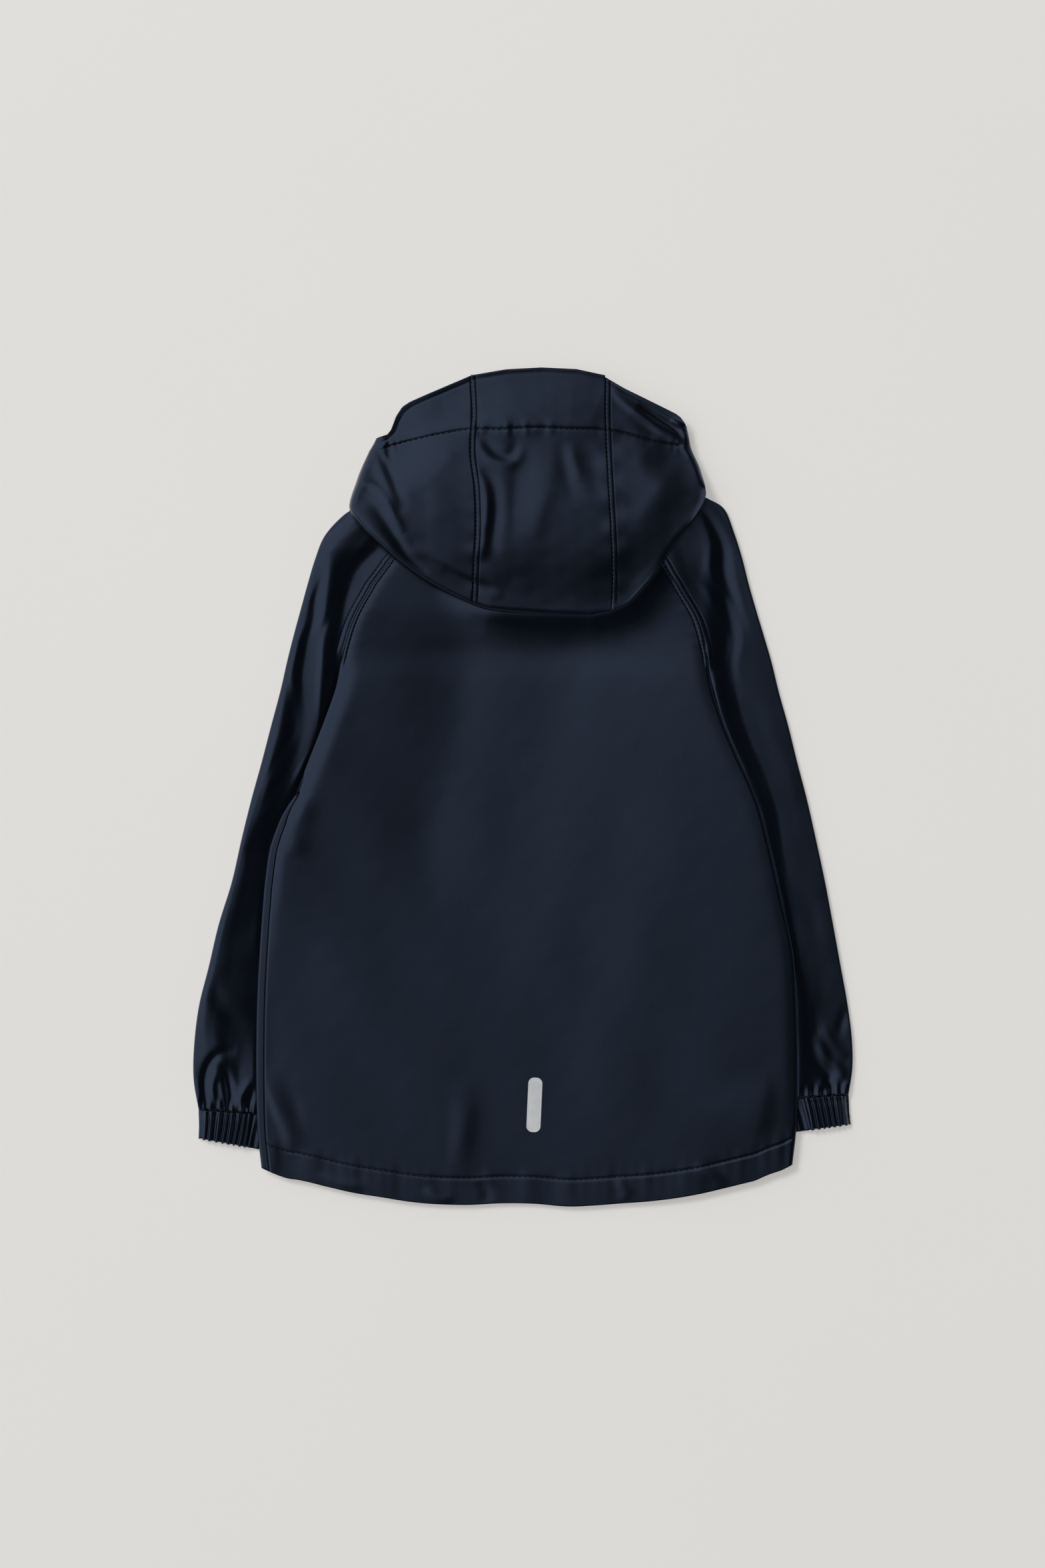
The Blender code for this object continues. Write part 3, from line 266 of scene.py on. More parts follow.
BODY_CREASES = table(
    "points left right rise",
    # near the hem
    (((-50, -236), (-48, -266), (-53, -308), (-56, -328)), 9, 16, 0.7),
    (((-62, -250), (-60, -280), (-65, -318)), 6, 7, -0.25),
    (((-214, -230), (-206, -256), (-194, -284), (-191, -306)), 10, 4, 1),
    (((-198, -240), (-188, -262), (-180, -290)), 4, 12, -0.3),
    (((196, -225), (197, -255), (190, -285), (178, -303)), 9, 30, 0.85),
    (((-80, -330), (-70, -338), (-58, -340)), 4, 4, 0.7),
    (((-36, -324), (-30, -334), (-32, -343)), 4, 4, -0.6),
    (((76, -322), (84, -332), (82, -341)), 5, 4, 0.6),
    (((140, -312), (158, -320), (164, -330)), 4, 5, 0.7),
    (((-168, -318), (-150, -326), (-130, -330)), 4, 4, 0.6),
    # at the notch below the left underarm
    (((-184, -6), (-181, -20), (-187, -32)), 9, 3.4, 0.42),
    (((-191, -30), (-187, -43), (-192, -58)), 10, 5, 0.5),
)
LEFT_SLEEVE_CREASES = table(
    "points left right rise",
    (((-262, -150), (-250, -176), (-228, -196)), 6, 7, -0.5),
    (((-268, -170), (-252, -190), (-236, -206)), 5, 6, 0.5),
    (((-259, -268), (-262.5, -250), (-260, -231), (-250, -219), (-236, -217)), 3.4, 4, -1.9),
    (((-251, -266), (-256, -248), (-252, -233)), 3, 3, 1.5),
    (((-240, -270), (-241, -252), (-245, -236), (-252, -226)), 3, 3.4, -1.9),
    (((-246, -268), (-246.5, -254), (-250, -242)), 2.6, 2.6, 1.1),
    (((-231, -271), (-224, -258), (-221, -246)), 3, 3, -1.5),
    (((-236, -269), (-233, -256), (-224, -240)), 3, 3, 1.2),
    (((-225, -272), (-219, -262), (-219.5, -250)), 2.6, 3, 1.1),
    (((-267, -262), (-266, -250), (-269, -240)), 3, 3, 0.8),
)
RIGHT_SLEEVE_CREASES = table(
    "points left right rise",
    (((246, -196), (256, -212), (268, -222)), 4, 6, 0.8),
    (((240, -204), (250, -222), (261, -233), (263, -244)), 4, 4, 1.1),
    (((234, -214), (246, -230), (256, -240)), 4, 5, -1.3),
    (((250, -238), (253, -250), (254, -256)), 3, 3, -1.2),
    (((246, -240), (247, -250), (248, -256)), 2.4, 2.4, 0.8),
    (((262, -256), (265, -248), (270, -242)), 2.6, 2.6, 0.9),
    (((268, -180), (262, -196), (262, -206)), 4, 4, -0.6),
)


# Numbers and curves


def ease(value):
    """Ease from 0 to 1 while value runs from 0 to 1."""
    value = np.clip(value, 0.0, 1.0)
    return value * value * (3.0 - 2.0 * value)


def bell(gap, width):
    """1 at a gap of 0, fading to nothing on both sides."""
    return np.exp(-((gap / width) ** 2))


def hinge(gap, turn):
    """Rises one for one where the gap is positive, and turns softly at 0."""
    return turn * np.logaddexp(0.0, gap / turn)


def rounding(share):
    """Drop of a rounded edge: 1 at the edge itself, 0 from a share of 1 inwards."""
    return 1.0 - np.sqrt(1.0 - (1.0 - np.clip(share, 0.0, 1.0)) ** 2)


def curve_at(values, position):
    """Smooth curve through evenly numbered values, at fractional indices."""
    values = np.asarray(values, float)
    last = len(values) - 1
    position = np.clip(np.asarray(position, float), 0.0, last)
    start = np.minimum(position.astype(int), last - 1)
    part = position - start
    here, after = values[start], values[start + 1]
    before = np.where(start > 0, values[np.maximum(start - 1, 0)], 2 * here - after)
    beyond = np.where(start + 2 <= last, values[np.minimum(start + 2, last)], 2 * after - here)
    linear = (after - before) * part
    square = (2 * before - 5 * here + 4 * after - beyond) * part ** 2
    cube = (3 * here - before - 3 * after + beyond) * part ** 3
    return 0.5 * (2 * here + linear + square + cube)


def column(rows, name):
    """One column of a table."""
    return [float(getattr(row, name)) for row in rows]


def table_at(rows, name, position):
    """A column of a table at a fractional row."""
    return curve_at(column(rows, name), position)


def row_at(rows, name, value):
    """Fractional row of a table where a column that falls from row to row has a value."""
    return np.interp(-np.asarray(value, float), -np.array(column(rows, name)), range(len(rows)))


def smooth_line(points, per_part=5):
    """More points on a smooth line through the given ones."""
    points = np.asarray(points, float)
    position = np.linspace(0.0, len(points) - 1, (len(points) - 1) * per_part + 1)
    return np.column_stack([curve_at(points[:, axis], position) for axis in range(points.shape[1])])


def nearest_on(line, x, y):
    """Distance to a line, its side (1 on the left), the length along it and its whole length."""
    start, run = line[:-1], np.diff(line, axis=0)
    lengths = np.maximum(np.hypot(run[:, 0], run[:, 1]), 1e-9)
    begins = np.concatenate([[0.0], np.cumsum(lengths)])
    best = np.full(x.shape, 1e9)
    sign = np.ones(x.shape)
    along = np.zeros(x.shape)
    for number, (origin, step, length) in enumerate(zip(start, run, lengths)):
        dx, dy = x - origin[0], y - origin[1]
        share = np.clip((dx * step[0] + dy * step[1]) / length ** 2, 0.0, 1.0)
        gap = np.hypot(dx - share * step[0], dy - share * step[1])
        closer = gap < best
        best = np.where(closer, gap, best)
        sign = np.where(closer, np.sign(step[0] * dy - step[1] * dx), sign)
        along = np.where(closer, begins[number] + share * length, along)
    return best, sign, along, begins[-1]


def crease_rise(x, y, creases):
    """Sum of the creases at points, each fading towards its two ends."""
    total = np.zeros(x.shape)
    for crease in creases:
        line = smooth_line(crease.points, 4)
        widest = max(crease.left, crease.right)
        low, high = line.min(axis=0) - 3.0 * widest, line.max(axis=0) + 3.0 * widest
        near = (x > low[0]) & (x < high[0]) & (y > low[1]) & (y < high[1])
        if not near.any():
            continue
        gap, sign, along, whole = nearest_on(line, x[near], y[near])
        softness = 0.5 + 0.06 * widest
        fade = np.sin(np.pi * np.clip(along / whole, 0.0, 1.0)) ** softness
        total[near] += crease.rise * fade * bell(gap, np.where(sign > 0, crease.left, crease.right))
    return total


def swell(x, y, length, seed):
    """Soft uneven swell between about -1 and 1, with hills about length apart."""
    draw = np.random.default_rng(seed)
    total = np.zeros(np.shape(x))
    for _ in range(7):
        angle = draw.uniform(0.0, math.tau)
        step = math.tau / (length * draw.uniform(0.7, 1.5))
        total += np.sin((x * math.cos(angle) + y * math.sin(angle)) * step + draw.uniform(0.0, math.tau))
    return total / 3.5


def pucker(along, gap, pitch, reach, seed):
    """Uneven small gathers across a stitched line: waves along it that fade away from it."""
    draw = np.random.default_rng(seed)
    wave = np.zeros(np.shape(along))
    for _ in range(4):
        wave += np.sin(along * math.tau / (pitch * draw.uniform(0.7, 1.6)) + draw.uniform(0.0, math.tau))
    return 0.5 * wave * bell(gap, reach)


def seam_relief(gap, band, height, groove):
    """Raised band of a felled seam from gap 0 to band, with a stitched groove at both its sides."""
    raised = height * ease(gap + 0.4) * (1.0 - ease(gap - band + 0.6))
    return raised - groove * (bell(gap - 0.2, 0.55) + bell(gap - band, 0.55))


# Meshes


def placed(name, data):
    """New object of a mesh, a light or a camera."""
    made = bpy.data.objects.new(name, data)
    bpy.context.scene.collection.objects.link(made)
    return made


def new_piece(name, vertices, faces, material):
    """Smooth piece over vertices in metres."""
    mesh = bpy.data.meshes.new(name)
    mesh.from_pydata(vertices, [], faces)
    mesh.shade_smooth()
    mesh.materials.append(material)
    return placed(name, mesh)


def ring_faces(base, count, rings):
    """Quads between rings of vertices that follow each other, and a face on each end."""
    faces = []
    for first in range(base, base + (rings - 1) * count, count):
        for k in range(count):
            here, there = first + k, first + (k + 1) % count
            faces.append((here, there, there + count, here + count))
    faces.append(tuple(base + k for k in range(count - 1, -1, -1)))
    faces.append(tuple(base + (rings - 1) * count + k for k in range(count)))
    return faces


def shell(name, points, material, up=True, closed=None, wall=CLOTH):
    """Thin cloth over a grid of points (millimetres); closed marks rows whose two ends meet."""
    rows, columns = points.shape[:2]
    ids = np.arange(rows * columns).reshape(rows, columns)
    if closed is not None:
        ids[closed, -1] = ids[closed, 0]
    quads = np.stack([ids[:-1, :-1], ids[:-1, 1:], ids[1:, 1:], ids[1:, :-1]], axis=-1).reshape(-1, 4)
    if not up:
        quads = quads[:, ::-1]
    used, flat = np.unique(quads, return_inverse=True)
    vertices = points.reshape(-1, 3)[used] * MM
    piece = new_piece(name, vertices.tolist(), flat.reshape(-1, 4).tolist(), material)
    cloth = piece.modifiers.new("Cloth", "SOLIDIFY")
    cloth.thickness = wall * MM
    cloth.offset = -1.0
    return piece


def facing_up(points):
    """True if the quads of a grid face up as shell() numbers them."""
    across = points[:-1, 1:] - points[:-1, :-1]
    along = points[1:, :-1] - points[:-1, :-1]
    return float(np.cross(across, along)[..., 2].sum()) > 0.0


# Body


def body_edge(side, y):
    """Edge of the body at y, on the left (side -1) or the right (side 1)."""
    return table_at(BODY, SIDE_NAME[side], row_at(BODY, "y", y))


def tuck_share(y):
    """0 where the sleeve lies beside the body, 1 where it lies under it."""
    return ease((SLEEVE_TUCK_TOP + 3.0 - y) / (SLEEVE_TUCK_TOP - SLEEVE_TUCK_FULL))


def side_lift(x, y):
    """Rise of a front panel where it lies on a sleeve."""
    inner = []
    for side, rows in ((-1, LEFT_SLEEVE), (1, RIGHT_SLEEVE)):
        place = row_at(rows, "inner_y", np.minimum(y, SLEEVE_TUCK_FULL))
        inner.append(np.minimum(np.abs(table_at(rows, "inner_x", place)), np.abs(body_edge(side, y)) - 10.0))
    gap = np.abs(x) - np.where(x < CENTER_X, *inner)
    return SIDE_LIFT * ease((gap + SLEEVE_RAMP) / (SLEEVE_RAMP - 2.0)) * tuck_share(y)


def back_height(x, y):
    """Outer face of the back panel, without its creases."""
    places = row_at(BACK, "y", y)
    row = {name: table_at(BACK, name, places) for name in BACK[0]._fields[1:]}
    z = row["base"] + row["left_rise"] * hinge(row["left_x"] - x, 5.0)
    z = z + row["right_rise"] * hinge(x - row["right_x"], 7.0)
    left_roll = 12.0 - 7.0 * ease((np.asarray(y, float) - 96.0) / 16.0)
    for side, roll in ((-1, left_roll), (1, 9.0)):
        name, edge = SIDE_NAME[side], body_edge(side, y)
        crest = edge - side * roll
        at_edge = row["base"] + row[name + "_rise"] * np.maximum((edge - row[name + "_x"]) * side, 0.0)
        slope = (at_edge - row[name + "_edge"]) / np.abs(edge - crest)
        z = z - slope * hinge((x - crest) * side, 2.0)
    return z


def hem_at(x):
    """Height y of the hem."""
    return table_at(HEM, "y", np.interp(x, column(HEM, "x"), range(len(HEM))))


def with_hem(x, y):
    """Rows of a body panel, drawn down to the curved hem."""
    share = ease((y - HEM_FROM_Y) / (HEM_CORNER_Y - HEM_FROM_Y))
    return y + share * (hem_at(x) - HEM_CORNER_Y)


def with_neck(x, y, low):
    """Top rows of a panel, lowered to its curved neckline."""
    share = ease((y - NECK_FROM_Y) / (NECK_Y - NECK_FROM_Y))
    across = np.minimum(np.abs(x - CENTER_X) / NECK_HALF_WIDTH, 1.0)
    return y - share * (NECK_Y - low) * (1.0 - across ** 2.2)


def flap_share(y):
    """1 where the left front wraps round to the back, 0 above the underarm."""
    return ease((UNDERARM_Y + FLAP_WIDTH - y) / (2.0 * FLAP_WIDTH))


def flap_growth(y):
    """0 just below the underarm, 1 where the left front reaches its full way onto the back."""
    return ease((UNDERARM_Y - FLAP_WIDTH - y) / 22.0)


def flap_width(y):
    """How far the left front reaches onto the back."""
    return FLAP_WIDTH * (0.5 + 0.5 * flap_growth(y))


def flap_room(y):
    """How far the back panel's left edge is drawn in for that wrap."""
    start = 2.0 * ease((UNDERARM_Y + 3.0 * FLAP_WIDTH - y) / (2.0 * FLAP_WIDTH))
    gap = SEAM_GAP * (4.0 - 3.0 * flap_growth(y))
    return np.maximum(np.minimum(1.6 * flap_share(y), 1.0) * (flap_width(y) + gap), start)


def body_rows(step, fine):
    """Heights of the rows of a body panel, close together near the hem."""
    above = np.linspace(NECK_Y, FINE_FROM_Y, int((NECK_Y - FINE_FROM_Y) / step) + 1)
    below = np.linspace(FINE_FROM_Y, HEM_CORNER_Y, int((FINE_FROM_Y - HEM_CORNER_Y) / fine) + 1)[1:]
    return np.concatenate([above, below])


def under_hood(x, y):
    """Rise of the cloth towards the hood that lies on it: it is held up below, and sinks at the left."""
    share = ease((x + 75.0) / 60.0)
    gap = nearest_on(FOLD_LINE, x, y)[0]
    rise = 3.0 * bell(gap, 17.0) + 1.3 * bell(gap, 8.0)
    return (share * rise - 0.4 * (1.0 - share) * bell(gap, 17.0)) * ease((y - 70.0) / 25.0)


def back_relief(x, y):
    """Creases, seams and hem of the back panel, added to its height."""
    relief = crease_rise(x, y, BODY_CREASES)
    relief += 0.16 * swell(x, y, 90.0, 3) + 0.02 * swell(x, y, 26.0, 5)
    relief += under_hood(x, y)
    # Raglan seams, above where the sleeves are tucked in
    left_gap, right_gap = x - body_edge(-1, y), body_edge(1, y) - x
    seam_gap = np.minimum(left_gap, right_gap)
    beside = ease((y - SLEEVE_TUCK_TOP + 6.0) / 10.0)
    band, groove = (np.where(left_gap < right_gap, *pair) for pair in (RAGLAN_BAND, RAGLAN_GROOVE))
    gathers = 0.10 * pucker(y, seam_gap - 3.0, 9.0, 9.0, 8)
    relief += beside * (seam_relief(seam_gap, band, 0.3, groove) + gathers)
    # Turned hem, its stitch line, and gathers on both sides of that
    gap = y - (hem_at(x) + HEM_STITCH)
    turned = 1.0 - ease((gap + 1.6) / 1.2)
    relief += 0.2 * turned - 0.35 * bell(gap, 0.9)
    relief += pucker(x, np.where(gap > 0, gap, 0.5 * gap), 13.0, 9.0, 11) * 0.07
    relief += pucker(x, np.where(gap > 0, 2.0 * gap, 0.35 * gap), 34.0, 10.0, 12) * 0.13
    return relief


def make_back(material):
    """Back panel."""
    drop, reach = 1.7, 3.4          # of the rounded edges that turn down beside the sleeves
    ys = body_rows(3.0, 1.0)
    grid = []
    for y in ys:
        left, right = float(body_edge(-1, y) + flap_room(y)), float(body_edge(1, y))
        middle = np.linspace(left + EDGE_STEPS[-1], right - EDGE_STEPS[-1], 124)[1:-1]
        grid.append(np.concatenate([left + EDGE_STEPS, middle, (right - EDGE_STEPS)[::-1]]))
    x = np.array(grid)
    row_y = np.repeat(ys[:, None], x.shape[1], axis=1)
    y = with_neck(x, with_hem(x, row_y), NECK_Y - BACK_NECK_DROP)
    z = back_height(x, row_y) + back_relief(x, y)
    covered = (y > bag_y(x) + 4.0) & (x > BAG_LINE[0][0]) & (x < BAG_LINE[-1][0])
    z = np.where(covered, np.minimum(z, HOOD_REST_BACK - 0.4), z)
    roll, above = tuck_share(row_y), 1.0 - flap_share(row_y)
    right_gap = body_edge(1, row_y) - x
    left_gap = x - body_edge(-1, row_y) - flap_room(row_y)
    z -= roll * drop * rounding(right_gap / reach)
    z -= roll * above * drop * rounding(left_gap / reach)
    z -= (1.0 - above) * 0.35 * bell(left_gap, 0.8)
    points = np.stack([x, y, z], axis=-1)
    return shell("back", points, material, facing_up(points))


def make_front(name, side, material):
    """One front panel, beneath; the left one wraps round onto the back below the underarm."""
    reach = 45.0 if side < 0 else 46.0          # of the lift at the closure, from the middle
    lift = OVERLAP_LIFT if side < 0 else OVERLAP_LIFT + CLOTH + SEAM_GAP + 0.4
    strip = np.linspace(0.0, 1.0, 7)
    turn = np.radians(np.linspace(90.0, 270.0, 13))[1:]
    parts = np.linspace(0.0, 1.0, len(strip) + len(turn))
    grid = []
    for y in body_rows(5.0, 2.0):
        left, right = float(body_edge(-1, y)), float(body_edge(1, y))
        edge = left if side < 0 else right
        low = float(side_lift(edge, y))
        depth = float(back_height(left, y)) - low
        radius, wide = 0.5 * depth, float(flap_width(y))
        wrapped_x = np.concatenate([wide + (radius - wide) * strip, radius + radius * np.cos(turn)])
        wrapped_z = np.concatenate([np.full(len(strip), depth), radius + radius * np.sin(turn)])
        curled_x = 0.9 + 4.0 * parts ** 1.5
        curled_z = 1.5 * (1.0 - parts) ** 2.2 * float(tuck_share(y))
        share = float(flap_share(y)) if side < 0 else 0.0
        start_x = curled_x + (wrapped_x - curled_x) * share
        start_z = curled_z + (wrapped_z - curled_z) * share
        inner = CENTER_X - side * FRONT_OVERLAP
        flat = np.linspace(edge - side * start_x[-1], inner, 72)[1:]
        x = np.concatenate([edge - side * start_x, flat])
        row_y = np.full(x.shape, y)
        z = side_lift(x, row_y) + lift * ease((reach - np.abs(x - CENTER_X)) / 25.0)
        z[:len(start_x)] = low + start_z
        row_y = with_neck(x, with_hem(np.clip(x, left, right), row_y), FRONT_NECK_Y)
        grid.append(np.column_stack([x, row_y, z]))
    points = np.array(grid)
    return shell(name, points, material, not facing_up(points))


# Sleeves and cuffs


def monotone(knots, values, x):
    """Smooth curve through the values at rows of rising knots, without overshoot between them."""
    steps = np.diff(knots, axis=-1)
    slopes = np.diff(values, axis=-1) / steps
    before, after = slopes[..., :-1], slopes[..., 1:]
    same = before * after > 0
    middle = np.where(same, 2.0 * before * after / np.where(same, before + after, 1.0), 0.0)
    tangents = np.concatenate([slopes[..., :1], middle, slopes[..., -1:]], axis=-1)
    number = np.clip((knots <= x[..., None]).sum(axis=-1) - 1, 0, knots.shape[-1] - 2)[..., None]

    def take(lines, beyond=0):
        return np.take_along_axis(lines, number + beyond, axis=-1)[..., 0]

    step, base = take(steps), take(values)
    part = np.clip((x - take(knots)) / step, -0.3, 1.3)
    rise = take(values, 1) - base
    start, stop = take(tangents) * step, take(tangents, 1) * step
    return base + part * (start + part * (3 * rise - 2 * start - stop + part * (start + stop - 2 * rise)))


def sleeve_top(rows, x, y):
    """Height of the top of a sleeve at places, from its table of folds."""
    places = row_at(rows, "y", y)
    knots, values = (np.stack([table_at(rows, f"{axis}{k}", places) for k in range(8)], axis=-1)
                     for axis in "xz")
    return monotone(np.abs(knots), values, np.abs(x))


def make_sleeve(name, rows, tops, creases, side, material):
    """Raglan sleeve: open along the raglan seams, a tube below the underarm."""
    stations, outer_radius, lowest = 210, 1.3, 1.8
    inner_turn = np.radians(np.linspace(0.0, 90.0, 6))
    outer_turn = np.radians(np.linspace(90.0, -90.0, 15))[1:]
    grid, closed = [], []
    for number in range(stations):
        position = number / (stations - 1) * (len(rows) - 1)
        outer, inner = (np.array([table_at(rows, f"{end}_{axis}", position) for axis in "xy"])
                        for end in ("outer", "inner"))
        edge = float(body_edge(side, inner[1]))
        is_open = position < SLEEVE_OPEN_ROWS - 1e-6
        if position <= SLEEVE_OPEN_ROWS + 2.0:
            beside = edge - side * TUCKED
            tucked_in = float(ease((position - SLEEVE_OPEN_ROWS) / 2.0))
            inner[0] = beside + (rows[SLEEVE_OPEN_ROWS + 2].inner_x - beside) * tucked_in
        run = outer - inner
        width = float(np.hypot(*run))
        hidden = 0.0 if is_open else min(max((abs(edge) - abs(inner[0]) - 0.5) / width, 0.0), 0.7)
        low = float(sleeve_top(tops, inner[:1], inner[1:])[0])
        tip, last = EDGE_RADIUS / width, 1.0 - outer_radius / width
        turn_end = max(hidden, 12.0 / width)
        shares = np.concatenate([np.linspace(tip, turn_end, 16)[1:-1], np.linspace(turn_end, last, 46)])
        if is_open:
            first, first_z, final_z = np.linspace(0.0, tip, 6), np.full(6, low), np.zeros(5)
        else:
            first = tip * (1.0 - np.cos(inner_turn))
            first_z = low * 0.5 * (1.0 + np.sin(inner_turn))
            final_z = low * 0.5 * (1.0 - np.sin(inner_turn[::-1]))[1:]
        x, y = inner[:, None] + run[:, None] * shares
        relief = 0.85 * crease_rise(x, y, creases) + 0.07 * swell(x, y, 44.0, 21 + side)
        relief += 0.012 * swell(x, y, 15.0, 23)
        from_cuff = 25.0 * (len(rows) - 1 - position)
        relief += 0.9 * pucker(shares * width, from_cuff, 6.0, 8.0, 61 + side) * (from_cuff < 30.0)
        z = sleeve_top(tops, x, y) + relief * ease((shares - hidden) * width / 5.0 + 0.2)
        if is_open:         # the edge dips below the back's, and a groove and stitches follow the seam
            gap = shares * width - TUCKED
            z = z - 0.9 * (1.0 - ease((gap + 0.2) / 0.9))
            stitched = -0.3 * bell(gap - 5.2, 0.7) + 0.1 * (1.0 - ease((gap - 4.8) / 0.8))
            fade = 1.0 - ease((position - SLEEVE_OPEN_ROWS + 0.7) / 0.7)
            z = z + fade * (stitched - 0.4 * bell(gap - 0.6, 0.9))
        z = np.maximum(z, lowest)
        round_edge = last + outer_radius / width * np.cos(outer_turn)
        round_z = float(z[-1]) * 0.5 * (1.0 + np.sin(outer_turn))
        beneath = np.linspace(last, tip, 16)[1:]
        across = np.concatenate([first, shares, round_edge, beneath, first[::-1][1:]])
        heights = np.concatenate([first_z, z, round_z, np.zeros(len(beneath)), final_z])
        grid.append(np.column_stack([*(inner[:, None] + run[:, None] * across), heights]))
        closed.append(not is_open)
    return shell(name, np.array(grid), material, side < 0, np.array(closed))


def make_cuff(name, rows, cuff, side, material):
    """Gathered sleeve end with uneven pleats over its elastic."""
    pleats, per_pleat = 15, 12
    lean = 0.31 if side < 0 else 0.69           # share of a pleat on its first flank
    flat_height, full_height = 3.2, 6.0         # under the body, and where the cuff shows
    flat_swing, full_swing = 0.3, 1.15
    draw = np.random.default_rng(31 + side)
    bounds = np.cumsum(draw.uniform(0.7, 1.35, pleats))
    bounds = np.concatenate([[0.0], bounds / bounds[-1]])
    depth = draw.uniform(0.75, 1.2, pleats)
    pleat = np.repeat(np.arange(pleats), per_pleat)[1:]
    part = np.tile(np.arange(per_pleat) / per_pleat, pleats)[1:]
    shares = bounds[pleat] + (bounds[pleat + 1] - bounds[pleat]) * part
    size = depth[pleat] + (depth[(pleat + 1) % pleats] - depth[pleat]) * part
    phase = np.where(part < lean, 0.5 * part / lean, 0.5 + 0.5 * (part - lean) / (1.0 - lean))
    crest = np.cos(math.tau * phase)
    fold = np.sign(crest) * np.abs(crest) ** 0.8
    middles = (bounds[:-1] + bounds[1:]) / 2
    slant = np.interp(shares, middles, draw.uniform(0.05, 0.07, pleats) * (1.1 - bounds[:-1]))
    wobble = np.interp(shares, middles, draw.uniform(-0.012, 0.012, pleats))
    round_off = np.sqrt(np.clip(1.0 - (2.0 * shares - 1.0) ** 8, 0.0, 1.0))
    ends = []
    for row, drop in ((rows[-1], 0.3), (cuff, 0.0)):
        ends.append(np.array([[row.inner_x, row.inner_y - drop], [row.outer_x, row.outer_y - drop]]))
    grid = []
    for along in np.concatenate([np.linspace(0.0, 0.3, 10), np.linspace(0.3, 1.0, 14)[1:]]):
        inner, outer = ends[0] + (ends[1] - ends[0]) * along
        run = outer - inner
        width = float(np.hypot(*run))
        hidden = (abs(float(body_edge(side, inner[1]))) - abs(inner[0])) / width
        shown = ease((shares - hidden - 0.03) / 0.12)
        pinch = 1.0 - 0.12 * bell(along - 0.16, 0.07)
        base = flat_height + (full_height - flat_height) * shown * pinch
        swing = (flat_swing + (full_swing - flat_swing) * shown) * (0.55 + 0.45 * float(ease(along * 2.5)))
        z = np.maximum((base + swing * size * fold) * round_off, 1.9)
        place = shares + slant * (along - 0.2) * 2.0 + wobble * math.sin(math.pi * along)
        scallop = 0.4 * fold * shown * float(ease((along - 0.75) / 0.25))
        x, y = inner[:, None] + run[:, None] * place
        low_x, low_y = inner[:, None] + run[:, None] * np.linspace(1.0 - 2.2 / width, 2.2 / width, 24)
        first = [(*inner, 1.6)]
        grid.append(np.concatenate([
            first, np.column_stack([x, y - scallop, z]), [(*outer, 2.2), (*outer, 1.2)],
            np.column_stack([low_x, low_y, np.zeros(len(low_x))]), first,
        ]))
    return shell(name, np.array(grid), material, side < 0, np.full(len(grid), True), wall=0.55)


# Hood


def hood_fold_line():
    """Folded edge of the hood from the left end of the rim round the bag to the right end."""
    left, right = (smooth_line([(row.edge_x, row.edge_y) for row in rows]) for rows in (LEFT_HOOD, RIGHT_HOOD))
    return np.concatenate([left, HOOD_BAG, right[::-1]])


def bow(share, side):
    """Outward bow of a side panel's rim between its end (0) and the seam (1), about 1 at most."""
    return np.interp(share, *zip(*RIM_BOWS[side]))


def rim_side(row, seam, side):
    """Rim of one side panel, from its end up to the seam with the middle one."""
    edge = np.array([row.edge_x, row.edge_y])
    run = np.array(seam) - edge
    across = np.array([-run[1], run[0]]) * -side / np.hypot(*run)
    share = np.linspace(0.0, 1.0, 14)[:, None]
    return edge + run * share + across * row.bulge * bow(share, side)


FOLD_LINE = hood_fold_line()
RIM_LINE = np.concatenate([rim_side(LEFT_HOOD[0], HOOD_RIM[0], -1), HOOD_RIM[1:-1],
                           rim_side(RIGHT_HOOD[0], HOOD_RIM[-1], 1)[::-1]])
CASING_LINE = smooth_line(CASING, 4)


def hood_seam_x(side, y):
    """Seam between the middle panel and a side of the hood."""
    return table_at(HOOD_SEAMS, SIDE_NAME[side], row_at(HOOD_SEAMS, "y", y))


def hood_rest(x, on_back):
    """Height of the hood's under layer."""
    shoulder = ease((np.abs(x - CENTER_X) - 82.0) / 30.0)
    return on_back * (HOOD_REST_BACK + (HOOD_REST_SHOULDER - HOOD_REST_BACK) * shoulder)


def settled(y):
    """0 where the hood lies on the surface, 1 where it lies on the back."""
    return ease((290.0 - y) / 100.0)


def hood_relief(x, y, edge_gap):
    """Creases, seams and the stitched rim casing of the hood's top."""
    relief = crease_rise(x, y, HOOD_CREASES)
    relief += 0.13 * swell(x, y, 46.0, 41) + 0.03 * swell(x, y, 15.0, 43)
    # The casing: its stitch line, the cloth raised above it, and its gathers
    gap, sign, along, _ = nearest_on(CASING_LINE, x, y)
    signed = gap * sign
    relief += -0.6 * bell(gap, 1.0) + 0.3 * bell(signed - 4.0, 4.0)
    gathers = 0.22 * pucker(along, signed, 8.0, 5.0, 47) + 0.3 * pucker(along, signed, 17.0, 8.0, 48)
    relief += gathers * (0.12 + 0.88 * bell(x + 14.0, 30.0))
    # Ripples at the two ends of the casing
    ends = bell(along, 12.0) + 0.3 * bell(along - 250.0, 10.0)
    relief += 0.6 * ends * np.cos(along * math.tau / 5.5) * bell(signed, 6.0)
    for side in (-1, 1):
        seam_gap = x - hood_seam_x(side, y)
        relief += seam_relief(seam_gap, 4.0, 0.25, 0.2) * (np.abs(seam_gap) < 14.0)
        relief += 0.22 * pucker(y, seam_gap - 2.5, 22.0, 8.0, 51 + side)
    return relief * ease(edge_gap / 9.0)


